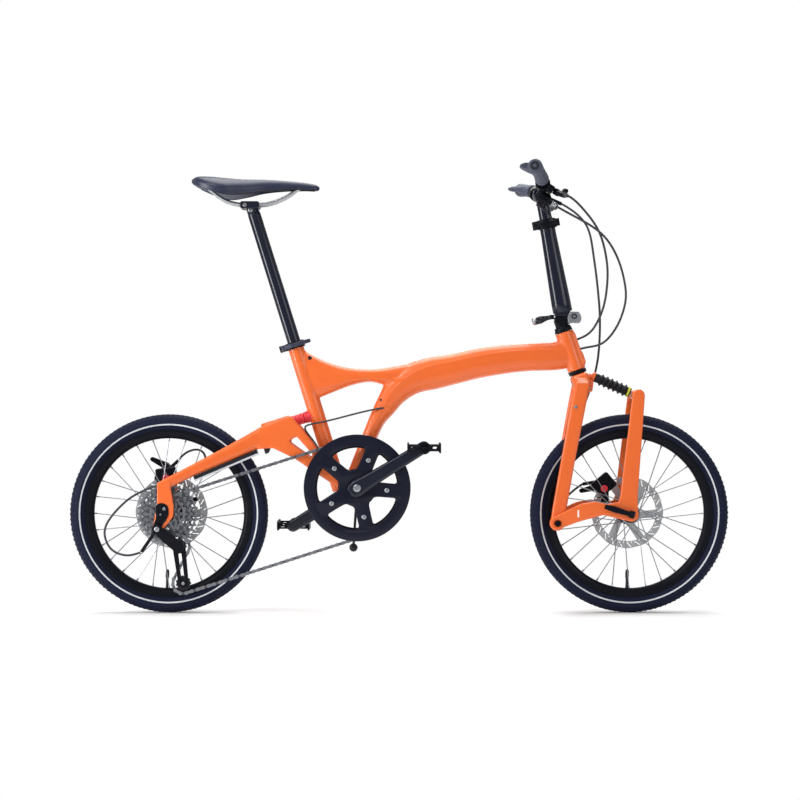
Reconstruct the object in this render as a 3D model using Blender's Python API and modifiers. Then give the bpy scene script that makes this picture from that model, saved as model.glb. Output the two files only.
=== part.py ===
"""Folding bicycle with small wheels, a one-piece beam, a leading-link front fork and a swinging rear arm.

Units are metres. X points forward, Y to the rider's left and Z up. The origin is on the ground,
midway between the wheels. Both wheels fold in under the frame: the rear arm swings round the
crank axis and the front arm swings round the lower end of the fork.
"""

import bmesh
import bpy
from math import acos, atan2, cos, pi, radians, sin, tau
from mathutils import Matrix, Vector

MM = 0.001
GAP = 0.3 * MM

# Wheels
WHEELBASE = 1011 * MM
TYRE_DIAMETER = 435 * MM
TYRE_WIDTH = 40 * MM
TYRE_HEIGHT = 33 * MM
RIM_DEPTH = 20 * MM
RIM_WIDTH = 25 * MM
RIM_WEB_WIDTH = 12 * MM
SPOKES_PER_FLANGE = 14
SPOKE_DIAMETER = 2 * MM
RIM_STEPS = 2 * SPOKES_PER_FLANGE
REAR_FLANGES = ((32 * MM, 27 * MM), (-18 * MM, 27 * MM))
FRONT_FLANGES = ((24 * MM, 26 * MM), (-32 * MM, 22 * MM))
AXLE_DIAMETER = 9.4 * MM
FRONT_HUB_WIDTH = 100 * MM
REAR_HUB_WIDTH = 135 * MM
ROTOR_DIAMETER = 160 * MM
ROTOR_THICKNESS = 1.8 * MM
ROTOR_TRACK = 15 * MM
ROTOR_BORE = 33 * MM
FRONT_ROTOR_INSET = 10.5 * MM
REAR_ROTOR_INSET = 15.5 * MM

# Frame
CHAINSTAY_REACH = 414.2 * MM
CRANK_AXIS_RISE = 57.5 * MM
SHELL_WIDTH = 68 * MM
SHELL_DIAMETER = 46 * MM
CUP_DIAMETER = 34 * MM
SPINDLE_DIAMETER = 17 * MM
HEAD_SETBACK = 114.5 * MM
HEAD_RISE = 314.5 * MM
HEAD_TILT = radians(18.6)
HEAD_LENGTH = 88.5 * MM
HEAD_DIAMETER = 41 * MM
STEERER_DIAMETER = 28.6 * MM
HEADSET_STACK = 12.3 * MM
CROWN_RACE = 9 * MM
SEAT_SETBACK = 139.7 * MM
SEAT_RISE = 319 * MM
SEAT_TILT = radians(17.3)
SEAT_TUBE_DIAMETER = 35 * MM
SEAT_TUBE_LENGTH = 341 * MM
POST_DIAMETER = 29 * MM
POST_WALL = 2 * MM
POST_EXPOSED = 315 * MM
POST_INSERTED = 115 * MM

# Rear arm
REAR_PLATE_INNER = 27.3 * MM
REAR_PLATE_OUTER = 40.8 * MM
DROPOUT_THICKNESS = 10 * MM
ELASTOMER_DIAMETER = 24 * MM
ELASTOMER_LENGTH = 28.6 * MM

# Drive
CRANK_LENGTH = 170 * MM
CRANK_ANGLE = radians(31.5)
CHAIN_LINE = 47 * MM
CHAIN_PITCH = 12.7 * MM
CHAIN_HALF_HEIGHT = 4.2 * MM
CHAIN_WAIST = 3.1 * MM
OUTER_LINK_WIDTH = 6 * MM
INNER_LINK_WIDTH = 4.4 * MM
CHAINRING_TEETH = 52
CHAINRING_THICKNESS = 3 * MM
GUARD_DIAMETER = 233 * MM
GUARD_THICKNESS = 5 * MM
BOLT_CIRCLE = 130 * MM
SPROCKET_TEETH = (11, 13, 15, 17, 20, 23, 26, 28, 32)
WORKING_SPROCKET = 3
SPROCKET_SPACING = 4.35 * MM
SPROCKET_THICKNESS = 1.8 * MM
CASSETTE_BORE = 34 * MM
PULLEY_TEETH = 11
PULLEY_WIDTH = 8 * MM
PEDAL_LENGTH = 72 * MM
PEDAL_WIDTH = 92 * MM
PEDAL_HEIGHT = 22 * MM

# Front fork and arm
PIVOT_SETBACK = 160.5 * MM
PIVOT_DROP = 19.5 * MM
LEG_INNER = 34 * MM
LEG_THICKNESS = 16 * MM
LEG_DEPTH = 31 * MM
FRONT_ARM_THICKNESS = 12 * MM
BELLOWS_DIAMETER = 28 * MM
BELLOWS_RIBS = 6

# Cockpit
HINGE_FORWARD = 21 * MM
HINGE_ABOVE_HEAD = 34 * MM
HANDLEPOST_TILT = radians(10.3)
HANDLEPOST_LENGTH = 212 * MM
HANDLEPOST_BASE_DIAMETER = 43 * MM
HANDLEPOST_TOP_DIAMETER = 34 * MM
RISER_DIAMETER = 28 * MM
BAR_ABOVE_HINGE = 267 * MM
BAR_HALF_WIDTH = 279 * MM
BAR_DIAMETER = 22.2 * MM
BAR_CLAMP_DIAMETER = 25.4 * MM
GRIP_LENGTH = 130 * MM
GRIP_DIAMETER = 31 * MM
GRIP_INSET = 3 * MM
CONTROL_TO_GRIP = 34 * MM
CONTROL_Y = BAR_HALF_WIDTH - GRIP_LENGTH + GRIP_INSET - CONTROL_TO_GRIP
LEVER_DROP = radians(31)
CABLE_DIAMETER = 5 * MM

# Saddle
SADDLE_LENGTH = 275 * MM
SADDLE_WIDTH = 146 * MM
RAIL_DIAMETER = 7 * MM

# Places worked out from the sizes
Y_AXIS = Vector((0, 1, 0))
REAR_AXLE = Vector((-WHEELBASE / 2, 0, TYRE_DIAMETER / 2))
FRONT_AXLE = Vector((WHEELBASE / 2, 0, TYRE_DIAMETER / 2))
CRANK_AXIS = REAR_AXLE + Vector((CHAINSTAY_REACH, 0, CRANK_AXIS_RISE))
HEAD_UP = Vector((-sin(HEAD_TILT), 0, cos(HEAD_TILT)))
HEAD_LOW = FRONT_AXLE + Vector((-HEAD_SETBACK, 0, HEAD_RISE))
HEAD_TOP = HEAD_LOW + HEAD_UP * HEAD_LENGTH
SEAT_UP = Vector((-sin(SEAT_TILT), 0, cos(SEAT_TILT)))
SEAT_BACK = Vector((-cos(SEAT_TILT), 0, -sin(SEAT_TILT)))
SEAT_TOP = CRANK_AXIS + Vector((-SEAT_SETBACK, 0, SEAT_RISE))
POST_TOP = SEAT_TOP + SEAT_UP * POST_EXPOSED
FORK_PIVOT = FRONT_AXLE + Vector((-PIVOT_SETBACK, 0, -PIVOT_DROP))
HANDLEPOST_UP = Vector((-sin(HANDLEPOST_TILT), 0, cos(HANDLEPOST_TILT)))
HINGE_PIN = HEAD_TOP + Vector((HINGE_FORWARD, 0, HINGE_ABOVE_HEAD))
HANDLEPOST_FOOT = HINGE_PIN + Vector((-23 * MM, 0, 5 * MM))
BAR_CENTRE = HANDLEPOST_FOOT + HANDLEPOST_UP * BAR_ABOVE_HINGE
RIM_DIAMETER = TYRE_DIAMETER - 2 * TYRE_HEIGHT
RIM_INNER_RADIUS = RIM_DIAMETER / 2 - RIM_DEPTH
FRONT_ROTOR_Y = FRONT_HUB_WIDTH / 2 - FRONT_ROTOR_INSET
REAR_ROTOR_Y = REAR_HUB_WIDTH / 2 - REAR_ROTOR_INSET
DROPOUT_INNER = REAR_HUB_WIDTH / 2 + GAP
FRONT_ARM_INNER = FRONT_HUB_WIDTH / 2 + GAP
FRONT_ARM_OUTER = FRONT_ARM_INNER + FRONT_ARM_THICKNESS
RIGHT_PEDAL = CRANK_AXIS + CRANK_LENGTH * Vector((cos(CRANK_ANGLE), 0, sin(CRANK_ANGLE)))
LEFT_PEDAL = CRANK_AXIS - CRANK_LENGTH * Vector((cos(CRANK_ANGLE), 0, sin(CRANK_ANGLE)))
GUIDE_PULLEY = REAR_AXLE + Vector((25.9 * MM, 0, -70.5 * MM))
TENSION_PULLEY = REAR_AXLE + Vector((35.5 * MM, 0, -150 * MM))
HANGER_BOLT = REAR_AXLE + Vector((-18 * MM, 0, -30.5 * MM))
REACH = Vector((cos(LEVER_DROP), 0, -sin(LEVER_DROP)))
LEVER_AXIS = Vector((sin(LEVER_DROP), 0, cos(LEVER_DROP)))


# Scene and materials

def clear_scene():
    for obj in list(bpy.data.objects):
        bpy.data.objects.remove(obj)


def collection(name):
    made = bpy.data.collections.new(name)
    bpy.context.scene.collection.children.link(made)
    return made


def finish(name, colour, roughness, metallic):
    made = bpy.data.materials.new(name)
    made.use_nodes = True
    shader = made.node_tree.nodes["Principled BSDF"]
    shader.inputs["Base Color"].default_value = (*colour, 1)
    shader.inputs["Roughness"].default_value = roughness
    shader.inputs["Metallic"].default_value = metallic
    return made


clear_scene()
PARTS = collection("folding_bicycle")
CUTTERS = collection("cutters")
ORANGE = finish("orange_paint", (0.90, 0.17, 0.03), 0.3, 0.0)
BLACK = finish("black_anodised", (0.012, 0.012, 0.016), 0.35, 0.5)
SATIN = finish("black_plastic", (0.03, 0.03, 0.035), 0.5, 0.0)
RUBBER = finish("tyre_rubber", (0.012, 0.013, 0.018), 0.8, 0.0)
GRIP_GREY = finish("grip_rubber", (0.12, 0.13, 0.17), 0.75, 0.0)
STEEL = finish("bright_steel", (0.55, 0.56, 0.58), 0.3, 1.0)
RED = finish("red_elastomer", (0.75, 0.04, 0.06), 0.45, 0.0)
SADDLE_SKIN = finish("saddle_cover", (0.03, 0.035, 0.06), 0.55, 0.0)


# Shape tools

def link(name, data):
    obj = bpy.data.objects.new(name, data)
    PARTS.objects.link(obj)
    return obj


def mesh_object(name, bm):
    bmesh.ops.recalc_face_normals(bm, faces=bm.faces)
    mesh = bpy.data.meshes.new(name)
    bm.to_mesh(mesh)
    bm.free()
    return link(name, mesh)


def helper(obj):
    """Set an operand of a Boolean aside, out of the render."""
    PARTS.objects.unlink(obj)
    CUTTERS.objects.link(obj)
    obj.hide_render = True
    obj.display_type = "WIRE"


def boolean(target, operation, *tools):
    for tool in tools:
        helper(tool)
        step = target.modifiers.new(operation.title(), "BOOLEAN")
        step.operation = operation
        step.object = tool
        step.solver = "EXACT"
    return target


def union(target, *tools):
    return boolean(target, "UNION", *tools)


def cut(target, *tools):
    return boolean(target, "DIFFERENCE", *tools)


def piece(obj, name, material):
    """Give a finished object its node name and material."""
    obj.name = name
    obj.data.name = name
    obj.data.materials.clear()
    obj.data.materials.append(material)
    return obj


def turned(name, profile, place, axis=Y_AXIS, steps=20, ring=False, start=0.0):
    """Spin (radius, height) points round an axis. They run down the outer side, from high to low."""
    mesh = bpy.data.meshes.new(name)
    edges = [(i, i + 1) for i in range(len(profile) - 1)]
    if ring:
        edges.append((len(profile) - 1, 0))
    points = [(radius * cos(start), radius * sin(start), height) for radius, height in profile]
    mesh.from_pydata(points, edges, [])
    obj = link(name, mesh)
    obj.location = place
    obj.rotation_mode = "QUATERNION"
    obj.rotation_quaternion = Vector((0, 0, 1)).rotation_difference(axis)
    screw = obj.modifiers.new("Screw", "SCREW")
    screw.angle = tau
    screw.steps = steps
    screw.render_steps = steps
    screw.use_merge_vertices = True
    screw.merge_threshold = 0.00001
    return obj


def drum(name, radius, low, high, place, axis=Y_AXIS, steps=16):
    """A plain cylinder from low to high along an axis."""
    return turned(name, [(0, high), (radius, high), (radius, low), (0, low)], place, axis, steps)


def across_flats(radius, steps):
    """The corner radius of a polygon whose flats stay outside a circle."""
    return radius / cos(pi / steps)


def bore(name, radius, low, high, place, axis=Y_AXIS, steps=16):
    """A cylinder that cuts a hole. It starts off the seams of the drums it cuts."""
    radius = across_flats(radius, steps)
    profile = [(0, high), (radius, high), (radius, low), (0, low)]
    return turned(name, profile, place, axis, steps, start=0.11)


def sleeve(name, hole, radius, low, high, place, axis=Y_AXIS, steps=16):
    """A tube from low to high along an axis."""
    hole = across_flats(hole, steps)
    profile = [(hole, high), (radius, high), (radius, low), (hole, low)]
    return turned(name, profile, place, axis, steps, ring=True)


def rod(name, start, end, radius, segments=8, end_radius=None):
    """A round bar between two points."""
    start, end = Vector(start), Vector(end)
    bm = bmesh.new()
    bmesh.ops.create_cone(
        bm, cap_ends=True, segments=segments, radius1=radius,
        radius2=radius if end_radius is None else end_radius, depth=(end - start).length,
    )
    turn = Vector((0, 0, 1)).rotation_difference(end - start).to_matrix().to_4x4()
    bmesh.ops.transform(bm, matrix=Matrix.Translation((start + end) / 2) @ turn, verts=bm.verts)
    return mesh_object(name, bm)


def block(name, centre, size, forward=Vector((1, 0, 0)), edge=0.0):
    """A box whose first side lies along forward, a direction in the side view."""
    up = Vector((-forward.z, 0, forward.x))
    bm = bmesh.new()
    bmesh.ops.create_cube(bm, size=1)
    bmesh.ops.scale(bm, vec=size, verts=bm.verts)
    if edge:
        bmesh.ops.bevel(bm, geom=bm.edges[:], offset=edge, segments=1, profile=0.5, affect="EDGES")
    turn = Matrix((forward, Y_AXIS, up)).transposed().to_4x4()
    bmesh.ops.transform(bm, matrix=Matrix.Translation(centre) @ turn, verts=bm.verts)
    return mesh_object(name, bm)


def loft(name, rings):
    """A closed skin through rings of points, with flat ends."""
    bm = bmesh.new()
    loops = [[bm.verts.new(point) for point in ring] for ring in rings]
    count = len(loops[0])
    for low, high in zip(loops, loops[1:]):
        for i in range(count):
            j = (i + 1) % count
            bm.faces.new((low[i], low[j], high[j], high[i]))
    bm.faces.new(loops[0])
    bm.faces.new(loops[-1])
    return mesh_object(name, bm)


def section(top, bottom, half_width, y=0.0, points=8, squareness=2.8):
    """A rounded ring between two (x, z) points of the side view."""
    top = Vector((top[0], y, top[1]))
    bottom = Vector((bottom[0], y, bottom[1]))
    centre, half = (top + bottom) / 2, (top - bottom) / 2
    ring = []
    for k in range(points):
        angle = tau * k / points
        reach = (abs(cos(angle)) ** squareness + abs(sin(angle)) ** squareness) ** (-1 / squareness)
        ring.append(centre + half * cos(angle) * reach + Y_AXIS * half_width * sin(angle) * reach)
    return ring


def solid_from_curve(obj):
    """Replace a curve by its mesh, with the end caps welded on."""
    bpy.context.view_layer.update()
    graph = bpy.context.evaluated_depsgraph_get()
    mesh = bpy.data.meshes.new_from_object(obj.evaluated_get(graph))
    bm = bmesh.new()
    bm.from_mesh(mesh)
    bmesh.ops.remove_doubles(bm, verts=bm.verts, dist=0.000001)
    bmesh.ops.recalc_face_normals(bm, faces=bm.faces)
    bm.to_mesh(mesh)
    bm.free()
    made = link(obj.name + "_mesh", mesh)
    made.matrix_world = obj.matrix_world
    bpy.data.objects.remove(obj)
    return made


def plate(name, outlines, y_low, y_high):
    """A flat plate in the side view: the first (x, z) outline is its rim and the others are holes."""
    curve = bpy.data.curves.new(name, "CURVE")
    curve.dimensions = "2D"
    curve.fill_mode = "BOTH"
    curve.extrude = (y_high - y_low) / 2
    for outline in outlines:
        spline = curve.splines.new("POLY")
        spline.points.add(len(outline) - 1)
        spline.use_cyclic_u = True
        for point, (x, z) in zip(spline.points, outline):
            point.co = (x, z, 0, 1)
    obj = link(name, curve)
    obj.location = (0, (y_low + y_high) / 2, 0)
    obj.rotation_euler = (pi / 2, 0, 0)
    return solid_from_curve(obj)


def tube(name, points, radius, resolution=2, radii=None):
    """A round tube swept along points."""
    curve = bpy.data.curves.new(name, "CURVE")
    curve.dimensions = "3D"
    curve.bevel_depth = radius
    curve.bevel_resolution = resolution
    curve.use_fill_caps = True
    spline = curve.splines.new("POLY")
    spline.points.add(len(points) - 1)
    for k, (target, point) in enumerate(zip(spline.points, points)):
        target.co = (*point, 1)
        target.radius = radii[k] / radius if radii else 1
    return solid_from_curve(link(name, curve))


def smooth(points, steps):
    """Points of a smooth curve through the given ones."""
    points = [Vector(point) for point in points]
    ends = [2 * points[0] - points[1], *points, 2 * points[-1] - points[-2]]
    run = []
    for before, start, end, after in zip(ends, ends[1:], ends[2:], ends[3:]):
        for k in range(steps):
            t = k / steps
            run.append(0.5 * (
                2 * start + (end - before) * t
                + (2 * before - 5 * start + 4 * end - after) * t ** 2
                + (3 * start - before - 3 * end + after) * t ** 3
            ))
    return [*run, points[-1]]


def arc(centre, radius, start, end, steps):
    """(x, z) points of an arc, with angles in degrees from the forward direction."""
    angles = [radians(start + (end - start) * k / steps) for k in range(steps + 1)]
    return [(centre[0] + radius * cos(a), centre[1] + radius * sin(a)) for a in angles]


def circle(centre, radius, steps):
    return arc(centre, radius, 0, 360, steps)[:-1]


def round_hole(centre, radius, steps):
    return circle(centre, across_flats(radius, steps), steps)


def rounded(outline, radius, steps=3):
    """An outline with its corners rounded by arcs."""
    corners = [Vector(point) for point in outline]
    made = []
    for k, corner in enumerate(corners):
        to_last = (corners[k - 1] - corner).normalized()
        to_next = (corners[(k + 1) % len(corners)] - corner).normalized()
        half = acos(max(-1, min(1, to_last.dot(to_next)))) / 2
        run = radius * cos(half) / sin(half)
        middle = corner + (to_last + to_next).normalized() * radius / sin(half)
        first, last = corner + to_last * run - middle, corner + to_next * run - middle
        sweep = first.angle_signed(last)
        for i in range(steps + 1):
            made.append(tuple(middle + Matrix.Rotation(-sweep * i / steps, 2) @ first))
    return made


def from_point(anchor):
    """A function that gives (x, z) for millimetre offsets from an anchor."""
    return lambda dx, dz: (anchor.x + dx * MM, anchor.z + dz * MM)


head = from_point(HEAD_LOW)
crank = from_point(CRANK_AXIS)
rear = from_point(REAR_AXLE)
front = from_point(FRONT_AXLE)
pivot = from_point(FORK_PIVOT)


def in_side_view(point, y):
    return Vector((point[0], y, point[1]))


# Wheels

def tyre(name, axle):
    outer, inner, half = TYRE_DIAMETER / 2, RIM_DIAMETER / 2 + GAP, TYRE_WIDTH / 2
    height = outer - inner
    side = [(0.0, 0.6), (0.42, 1.0), (0.86, 0.68)]
    profile = [(inner + height * up, half * wide) for up, wide in side]
    profile.append((outer, 0))
    profile += [(inner + height * up, -half * wide) for up, wide in reversed(side)]
    return piece(turned(name, profile, axle, steps=RIM_STEPS, ring=True), name, RUBBER)


def rim(name, axle, flanges):
    """A rim with the spokes laced into it, which reach in to the edges of the hub's flanges."""
    outer, half, web = RIM_DIAMETER / 2, RIM_WIDTH / 2, RIM_WEB_WIDTH / 2
    shoulder = outer - RIM_DEPTH * 0.4
    profile = [
        (outer, half), (outer, -half), (shoulder, -half),
        (RIM_INNER_RADIUS, -web), (RIM_INNER_RADIUS, web), (shoulder, half),
    ]
    obj = turned(name, profile, axle, steps=RIM_STEPS, ring=True)
    return piece(union(obj, spokes(name + "_spokes", axle, flanges)), name, BLACK)


def spokes(name, axle, flanges):
    """All spokes of a wheel, crossing twice: leading ones lie outside each flange, trailing ones inside."""
    bm = bmesh.new()
    turn = tau / SPOKES_PER_FLANGE
    for side, (flange_y, flange_radius) in enumerate(flanges):
        outward = 1 if flange_y > 0 else -1
        for k in range(SPOKES_PER_FLANGE):
            lead = 1 if k % 2 == 0 else -1
            hub_angle = turn * (k + side / 2)
            rim_angle = hub_angle + lead * 2 * turn
            start = Vector((cos(hub_angle), 0, sin(hub_angle))) * (flange_radius + SPOKE_DIAMETER / 2 + GAP)
            start.y = flange_y + outward * lead * 2.1 * MM
            end = Vector((cos(rim_angle), 0, sin(rim_angle))) * (RIM_INNER_RADIUS + 3 * MM)
            end.y = outward * 1.5 * MM
            axis = end - start
            made = bmesh.ops.create_cone(
                bm, cap_ends=True, segments=3, radius1=SPOKE_DIAMETER / 2,
                radius2=SPOKE_DIAMETER / 2, depth=axis.length,
            )
            spin = Vector((0, 0, 1)).rotation_difference(axis).to_matrix().to_4x4()
            place = Matrix.Translation(axle + (start + end) / 2) @ spin
            bmesh.ops.transform(bm, matrix=place, verts=made["verts"])
    return mesh_object(name, bm)


def hub(name, axle, width, rotor_y, left_flange, right_flange, arm_thickness, driver=None):
    """A hub turned with its axle ends, flanges, rotor spigot and, at the rear, a freehub body."""
    half, end = width / 2, width / 2 + arm_thickness - GAP
    axle_r, nut, barrel, disc = AXLE_DIAMETER / 2, 8 * MM, 13 * MM, 3 * MM
    spigot = ROTOR_BORE / 2 - GAP
    seat = rotor_y - ROTOR_THICKNESS / 2 - GAP
    left_y, left_r = left_flange
    right_y, right_r = right_flange
    profile = [
        (0, end), (axle_r, end), (axle_r, half), (nut, half), (nut, rotor_y + 3 * MM),
        (spigot, rotor_y + 3 * MM), (spigot, seat), (spigot + 6 * MM, seat),
        (spigot + 6 * MM, left_y + disc), (left_r, left_y + disc / 2), (left_r, left_y - disc / 2),
        (barrel, left_y - 3 * disc), (barrel, right_y + 3 * disc),
        (right_r, right_y + disc / 2), (right_r, right_y - disc / 2),
    ]
    if driver:
        profile += [(driver, right_y - disc), (driver, -half + 4 * MM)]
    else:
        profile += [(barrel, right_y - 2 * disc)]
    profile += [(nut, -half + 4 * MM), (nut, -half), (axle_r, -half), (axle_r, -end), (0, -end)]
    obj = turned(name, profile, axle, steps=10)
    return piece(obj, name, BLACK)


def rotor(name, axle, y):
    """A brake disc: a braking track carried by six swept arms."""
    centre = (axle.x, axle.z)
    track = ROTOR_DIAMETER / 2 - ROTOR_TRACK
    carrier = ROTOR_BORE / 2 + 9 * MM
    holes = [round_hole(centre, ROTOR_BORE / 2, 14)]
    for k in range(6):
        a = 60 * k
        holes.append(arc(centre, track, a + 6, a + 50, 3) + arc(centre, carrier, a + 27, a + 3, 1))
    half = ROTOR_THICKNESS / 2
    return piece(plate(name, [circle(centre, ROTOR_DIAMETER / 2, 24), *holes], y - half, y + half), name, STEEL)


def release_pivot(axle, side, y_face):
    return axle + Y_AXIS * side * (y_face + 7 * MM)


def quick_release(name, middle, side, lever_angle):
    """A cam barrel on the axle end with a lever that lies along the arm."""
    along = Vector((cos(lever_angle), 0, sin(lever_angle)))
    across = Vector((-along.z, 0, along.x))
    obj = rod(name, middle - across * 8 * MM, middle + across * 8 * MM, 6.4 * MM)
    blade = loft(name + "_blade", [
        [middle + along * s * MM + across * w * c * MM + Y_AXIS * (side * bow + t * d) * MM
         for c, d in ((1, 1), (-1, 1), (-1, -1), (1, -1))]
        for s, w, t, bow in ((2, 5, 4, 0), (18, 5.5, 3.2, 3), (42, 7, 2.6, 4), (62, 5, 2, 2))
    ])
    return piece(union(obj, blade), name, BLACK)


# Frame

def main_frame():
    """A beam that sweeps down from the head tube to the crank axis, with an upper branch to the seat tube."""
    beam = loft("main_frame", [section(*pair, half * MM) for pair, half in (
        ((head(-25, 68), head(-5, 8)), 16),
        ((head(-53, 62), head(-46, 0)), 21),
        ((head(-127, 58), head(-119, -3)), 24),
        ((head(-204, 51), head(-201, -15)), 25),
        ((crank(204, 293), crank(219, 227)), 25),
        ((crank(151, 284), crank(175, 215.6)), 24.5),
        ((crank(101, 266), crank(135, 207)), 24),
        ((crank(66, 237), crank(102, 187)), 23),
        ((crank(48, 203), crank(78, 160)), 22),
        ((crank(31, 166), crank(59, 139)), 21.5),
        ((crank(12, 119), crank(43, 107)), 21),
        ((crank(-12, 58), crank(19, 46)), 20.5),
        ((crank(-26, 22), crank(5, 10)), 20),
    )])
    branch = loft("seat_branch", [section(*pair, half * MM) for pair, half in (
        ((crank(131, 275), crank(121, 230)), 19),
        ((crank(71, 264), crank(69, 223)), 20),
        ((crank(32, 259.6), crank(29, 231)), 19.5),
        ((crank(-12, 262), crank(-10, 224.4)), 19),
        ((crank(-52, 270.6), crank(-52, 209)), 18),
        ((crank(-89, 285), crank(-79, 198)), 16.5),
        ((crank(-124, 305), crank(-105, 191)), 14),
    )])
    seat_tube = drum("seat_tube", SEAT_TUBE_DIAMETER / 2, -SEAT_TUBE_LENGTH, 0, SEAT_TOP, SEAT_UP)
    shell = drum("shell", SHELL_DIAMETER / 2, -SHELL_WIDTH / 2, SHELL_WIDTH / 2, CRANK_AXIS)
    head_tube = drum("head_tube", HEAD_DIAMETER / 2, 0, HEAD_LENGTH, HEAD_LOW, HEAD_UP)
    forward = Vector((HEAD_UP.z, 0, -HEAD_UP.x))
    pad_centre = HEAD_LOW + HEAD_UP * HEAD_LENGTH / 2 + forward * (HEAD_DIAMETER / 2 - 2 * MM)
    pad = block("carrier_pad", pad_centre, (8 * MM, 24 * MM, HEAD_LENGTH - 14 * MM), forward, 1.5 * MM)
    face_centre = HEAD_LOW + HEAD_UP * 22.75 * MM + forward * (HEAD_DIAMETER / 2 - 1 * MM)
    face = block("carrier_face", face_centre, (10 * MM, 19 * MM, 25.5 * MM), forward, 1 * MM)
    boss_end, boss_axis = elastomer_seat()
    boss = rod("spring_boss", boss_end, boss_end + boss_axis * 24 * MM, ELASTOMER_DIAMETER / 2 + 1 * MM, 14)
    union(beam, branch, seat_tube, shell, head_tube, pad, face, boss)
    cut(
        beam,
        bore("post_bore", POST_DIAMETER / 2 + GAP, -SEAT_TUBE_LENGTH - 60 * MM, 20 * MM, SEAT_TOP, SEAT_UP),
        bore("cup_bore", CUP_DIAMETER / 2 + GAP, -SHELL_WIDTH, SHELL_WIDTH, CRANK_AXIS),
        bore("head_bore", HEAD_DIAMETER / 2 - 3 * MM, -20 * MM, HEAD_LENGTH + 20 * MM, HEAD_LOW, HEAD_UP),
    )
    return piece(beam, "main_frame", ORANGE)


def elastomer_seat():
    """Where the rear elastomer meets the boss behind the seat tube, and the way it points."""
    axis = -SEAT_BACK
    boss_end = CRANK_AXIS + Vector((-116.5 * MM, 0, 152.1 * MM))
    return boss_end, axis


def headset(name, base, up, low_radius, high_radius, height):
    hole = across_flats(STEERER_DIAMETER / 2 + GAP, 16)
    profile = [(hole, height), (high_radius, height), (low_radius, 0), (hole, 0)]
    return piece(turned(name, profile, base + up * GAP, up, 16, ring=True), name, BLACK)


def bottom_bracket():
    half = REAR_PLATE_OUTER + 1.5 * MM
    obj = sleeve("bottom_bracket", SPINDLE_DIAMETER / 2 + GAP, CUP_DIAMETER / 2, -half, half, CRANK_AXIS)
    return piece(obj, "bottom_bracket", STEEL)


def rest_leg():
    """A forked steel leg under the crank axis, with the rubber foot that the folded bicycle stands on."""
    foot = CRANK_AXIS + Vector((-9 * MM, 0, -133 * MM))
    profile = [(9.5 * MM * sin(pi * k / 6), 9.5 * MM * cos(pi * k / 6)) for k in range(7)]
    obj = turned("rest_leg", profile, foot, Vector((0, 0, 1)), 10)
    shell = SHELL_DIAMETER / 2 + GAP
    for side in (-1, 1):
        top = CRANK_AXIS + Vector((-2 * MM, side * 13 * MM, -shell - 2 * MM))
        union(obj, rod("leg", top, foot + Vector((0, side * 3 * MM, 5 * MM)), 3 * MM, 6))
    union(obj, block("leg_saddle", CRANK_AXIS + Vector((-2 * MM, 0, -shell - 3 * MM)),
                     (14 * MM, 34 * MM, 5 * MM)))
    cut(obj, bore("shell_seat", shell, -SHELL_WIDTH, SHELL_WIDTH, CRANK_AXIS))
    return piece(obj, "rest_leg", STEEL)


# Seat

def seat_collar():
    """A split clamp round the top of the seat tube, with its bolt ears behind."""
    hole = SEAT_TUBE_DIAMETER / 2 + GAP
    obj = sleeve("seat_collar", hole, hole + 3.5 * MM, -15 * MM, 0, SEAT_TOP, SEAT_UP)
    middle = SEAT_TOP - SEAT_UP * 7.5 * MM
    for side in (-1, 1):
        ear = block("ear", middle + SEAT_BACK * (hole + 9 * MM) + Y_AXIS * side * 6 * MM,
                    (16 * MM, 8 * MM, 14 * MM), SEAT_BACK)
        union(obj, ear)
    slit = block("slit", middle + SEAT_BACK * (hole + 8 * MM), (26 * MM, 3 * MM, 30 * MM), SEAT_BACK)
    return piece(cut(obj, slit), "seat_collar", BLACK)


def seat_lever_pivot():
    hole = SEAT_TUBE_DIAMETER / 2 + GAP
    return SEAT_TOP - SEAT_UP * 7.5 * MM + SEAT_BACK * (hole + 8 * MM) - Y_AXIS * 16.2 * MM


def seat_clamp_lever():
    """A curved lever that lies along the right side of the collar."""
    hub_point = seat_lever_pivot()
    obj = rod("seat_clamp_lever", hub_point - SEAT_UP * 6 * MM, hub_point + SEAT_UP * 6 * MM, 5.8 * MM)
    rings = []
    for ahead, out, half in ((0, 2, 4.5), (18, 9.5, 4.5), (38, 11, 5), (62, 5, 4)):
        middle = hub_point - SEAT_BACK * ahead * MM - Y_AXIS * out * MM
        rings.append([middle + SEAT_UP * half * a * MM + Y_AXIS * 2.2 * b * MM
                      for a, b in ((1, 1), (-1, 1), (-1, -1), (1, -1))])
    return piece(union(obj, loft("lever_blade", rings)), "seat_clamp_lever", SATIN)


def rail_points(half_gap):
    """The saddle rails run back from the nose, dip to the clamp and rise to the rear of the shell."""
    top = POST_TOP
    right = [(114, 0, 44), (106, 8, 38), (80, 15, 19), (48, 20, 5), (20, half_gap, 0), (-20, half_gap, 0),
             (-56, 25, 9), (-88, 30, 31), (-100, 31, 43)]
    run = [top + Vector((x * MM, -y * MM, z * MM)) for x, y, z in reversed(right)]
    run += [top + Vector((x * MM, y * MM, z * MM)) for x, y, z in right[1:]]
    return run


RAIL_HALF_GAP = 22


def rail_tube(name, grow):
    run = smooth(rail_points(RAIL_HALF_GAP), 2)
    run[0] += (run[0] - run[1]).normalized() * grow
    run[-1] += (run[-1] - run[-2]).normalized() * grow
    return tube(name, run, RAIL_DIAMETER / 2 + grow, 1)


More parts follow.
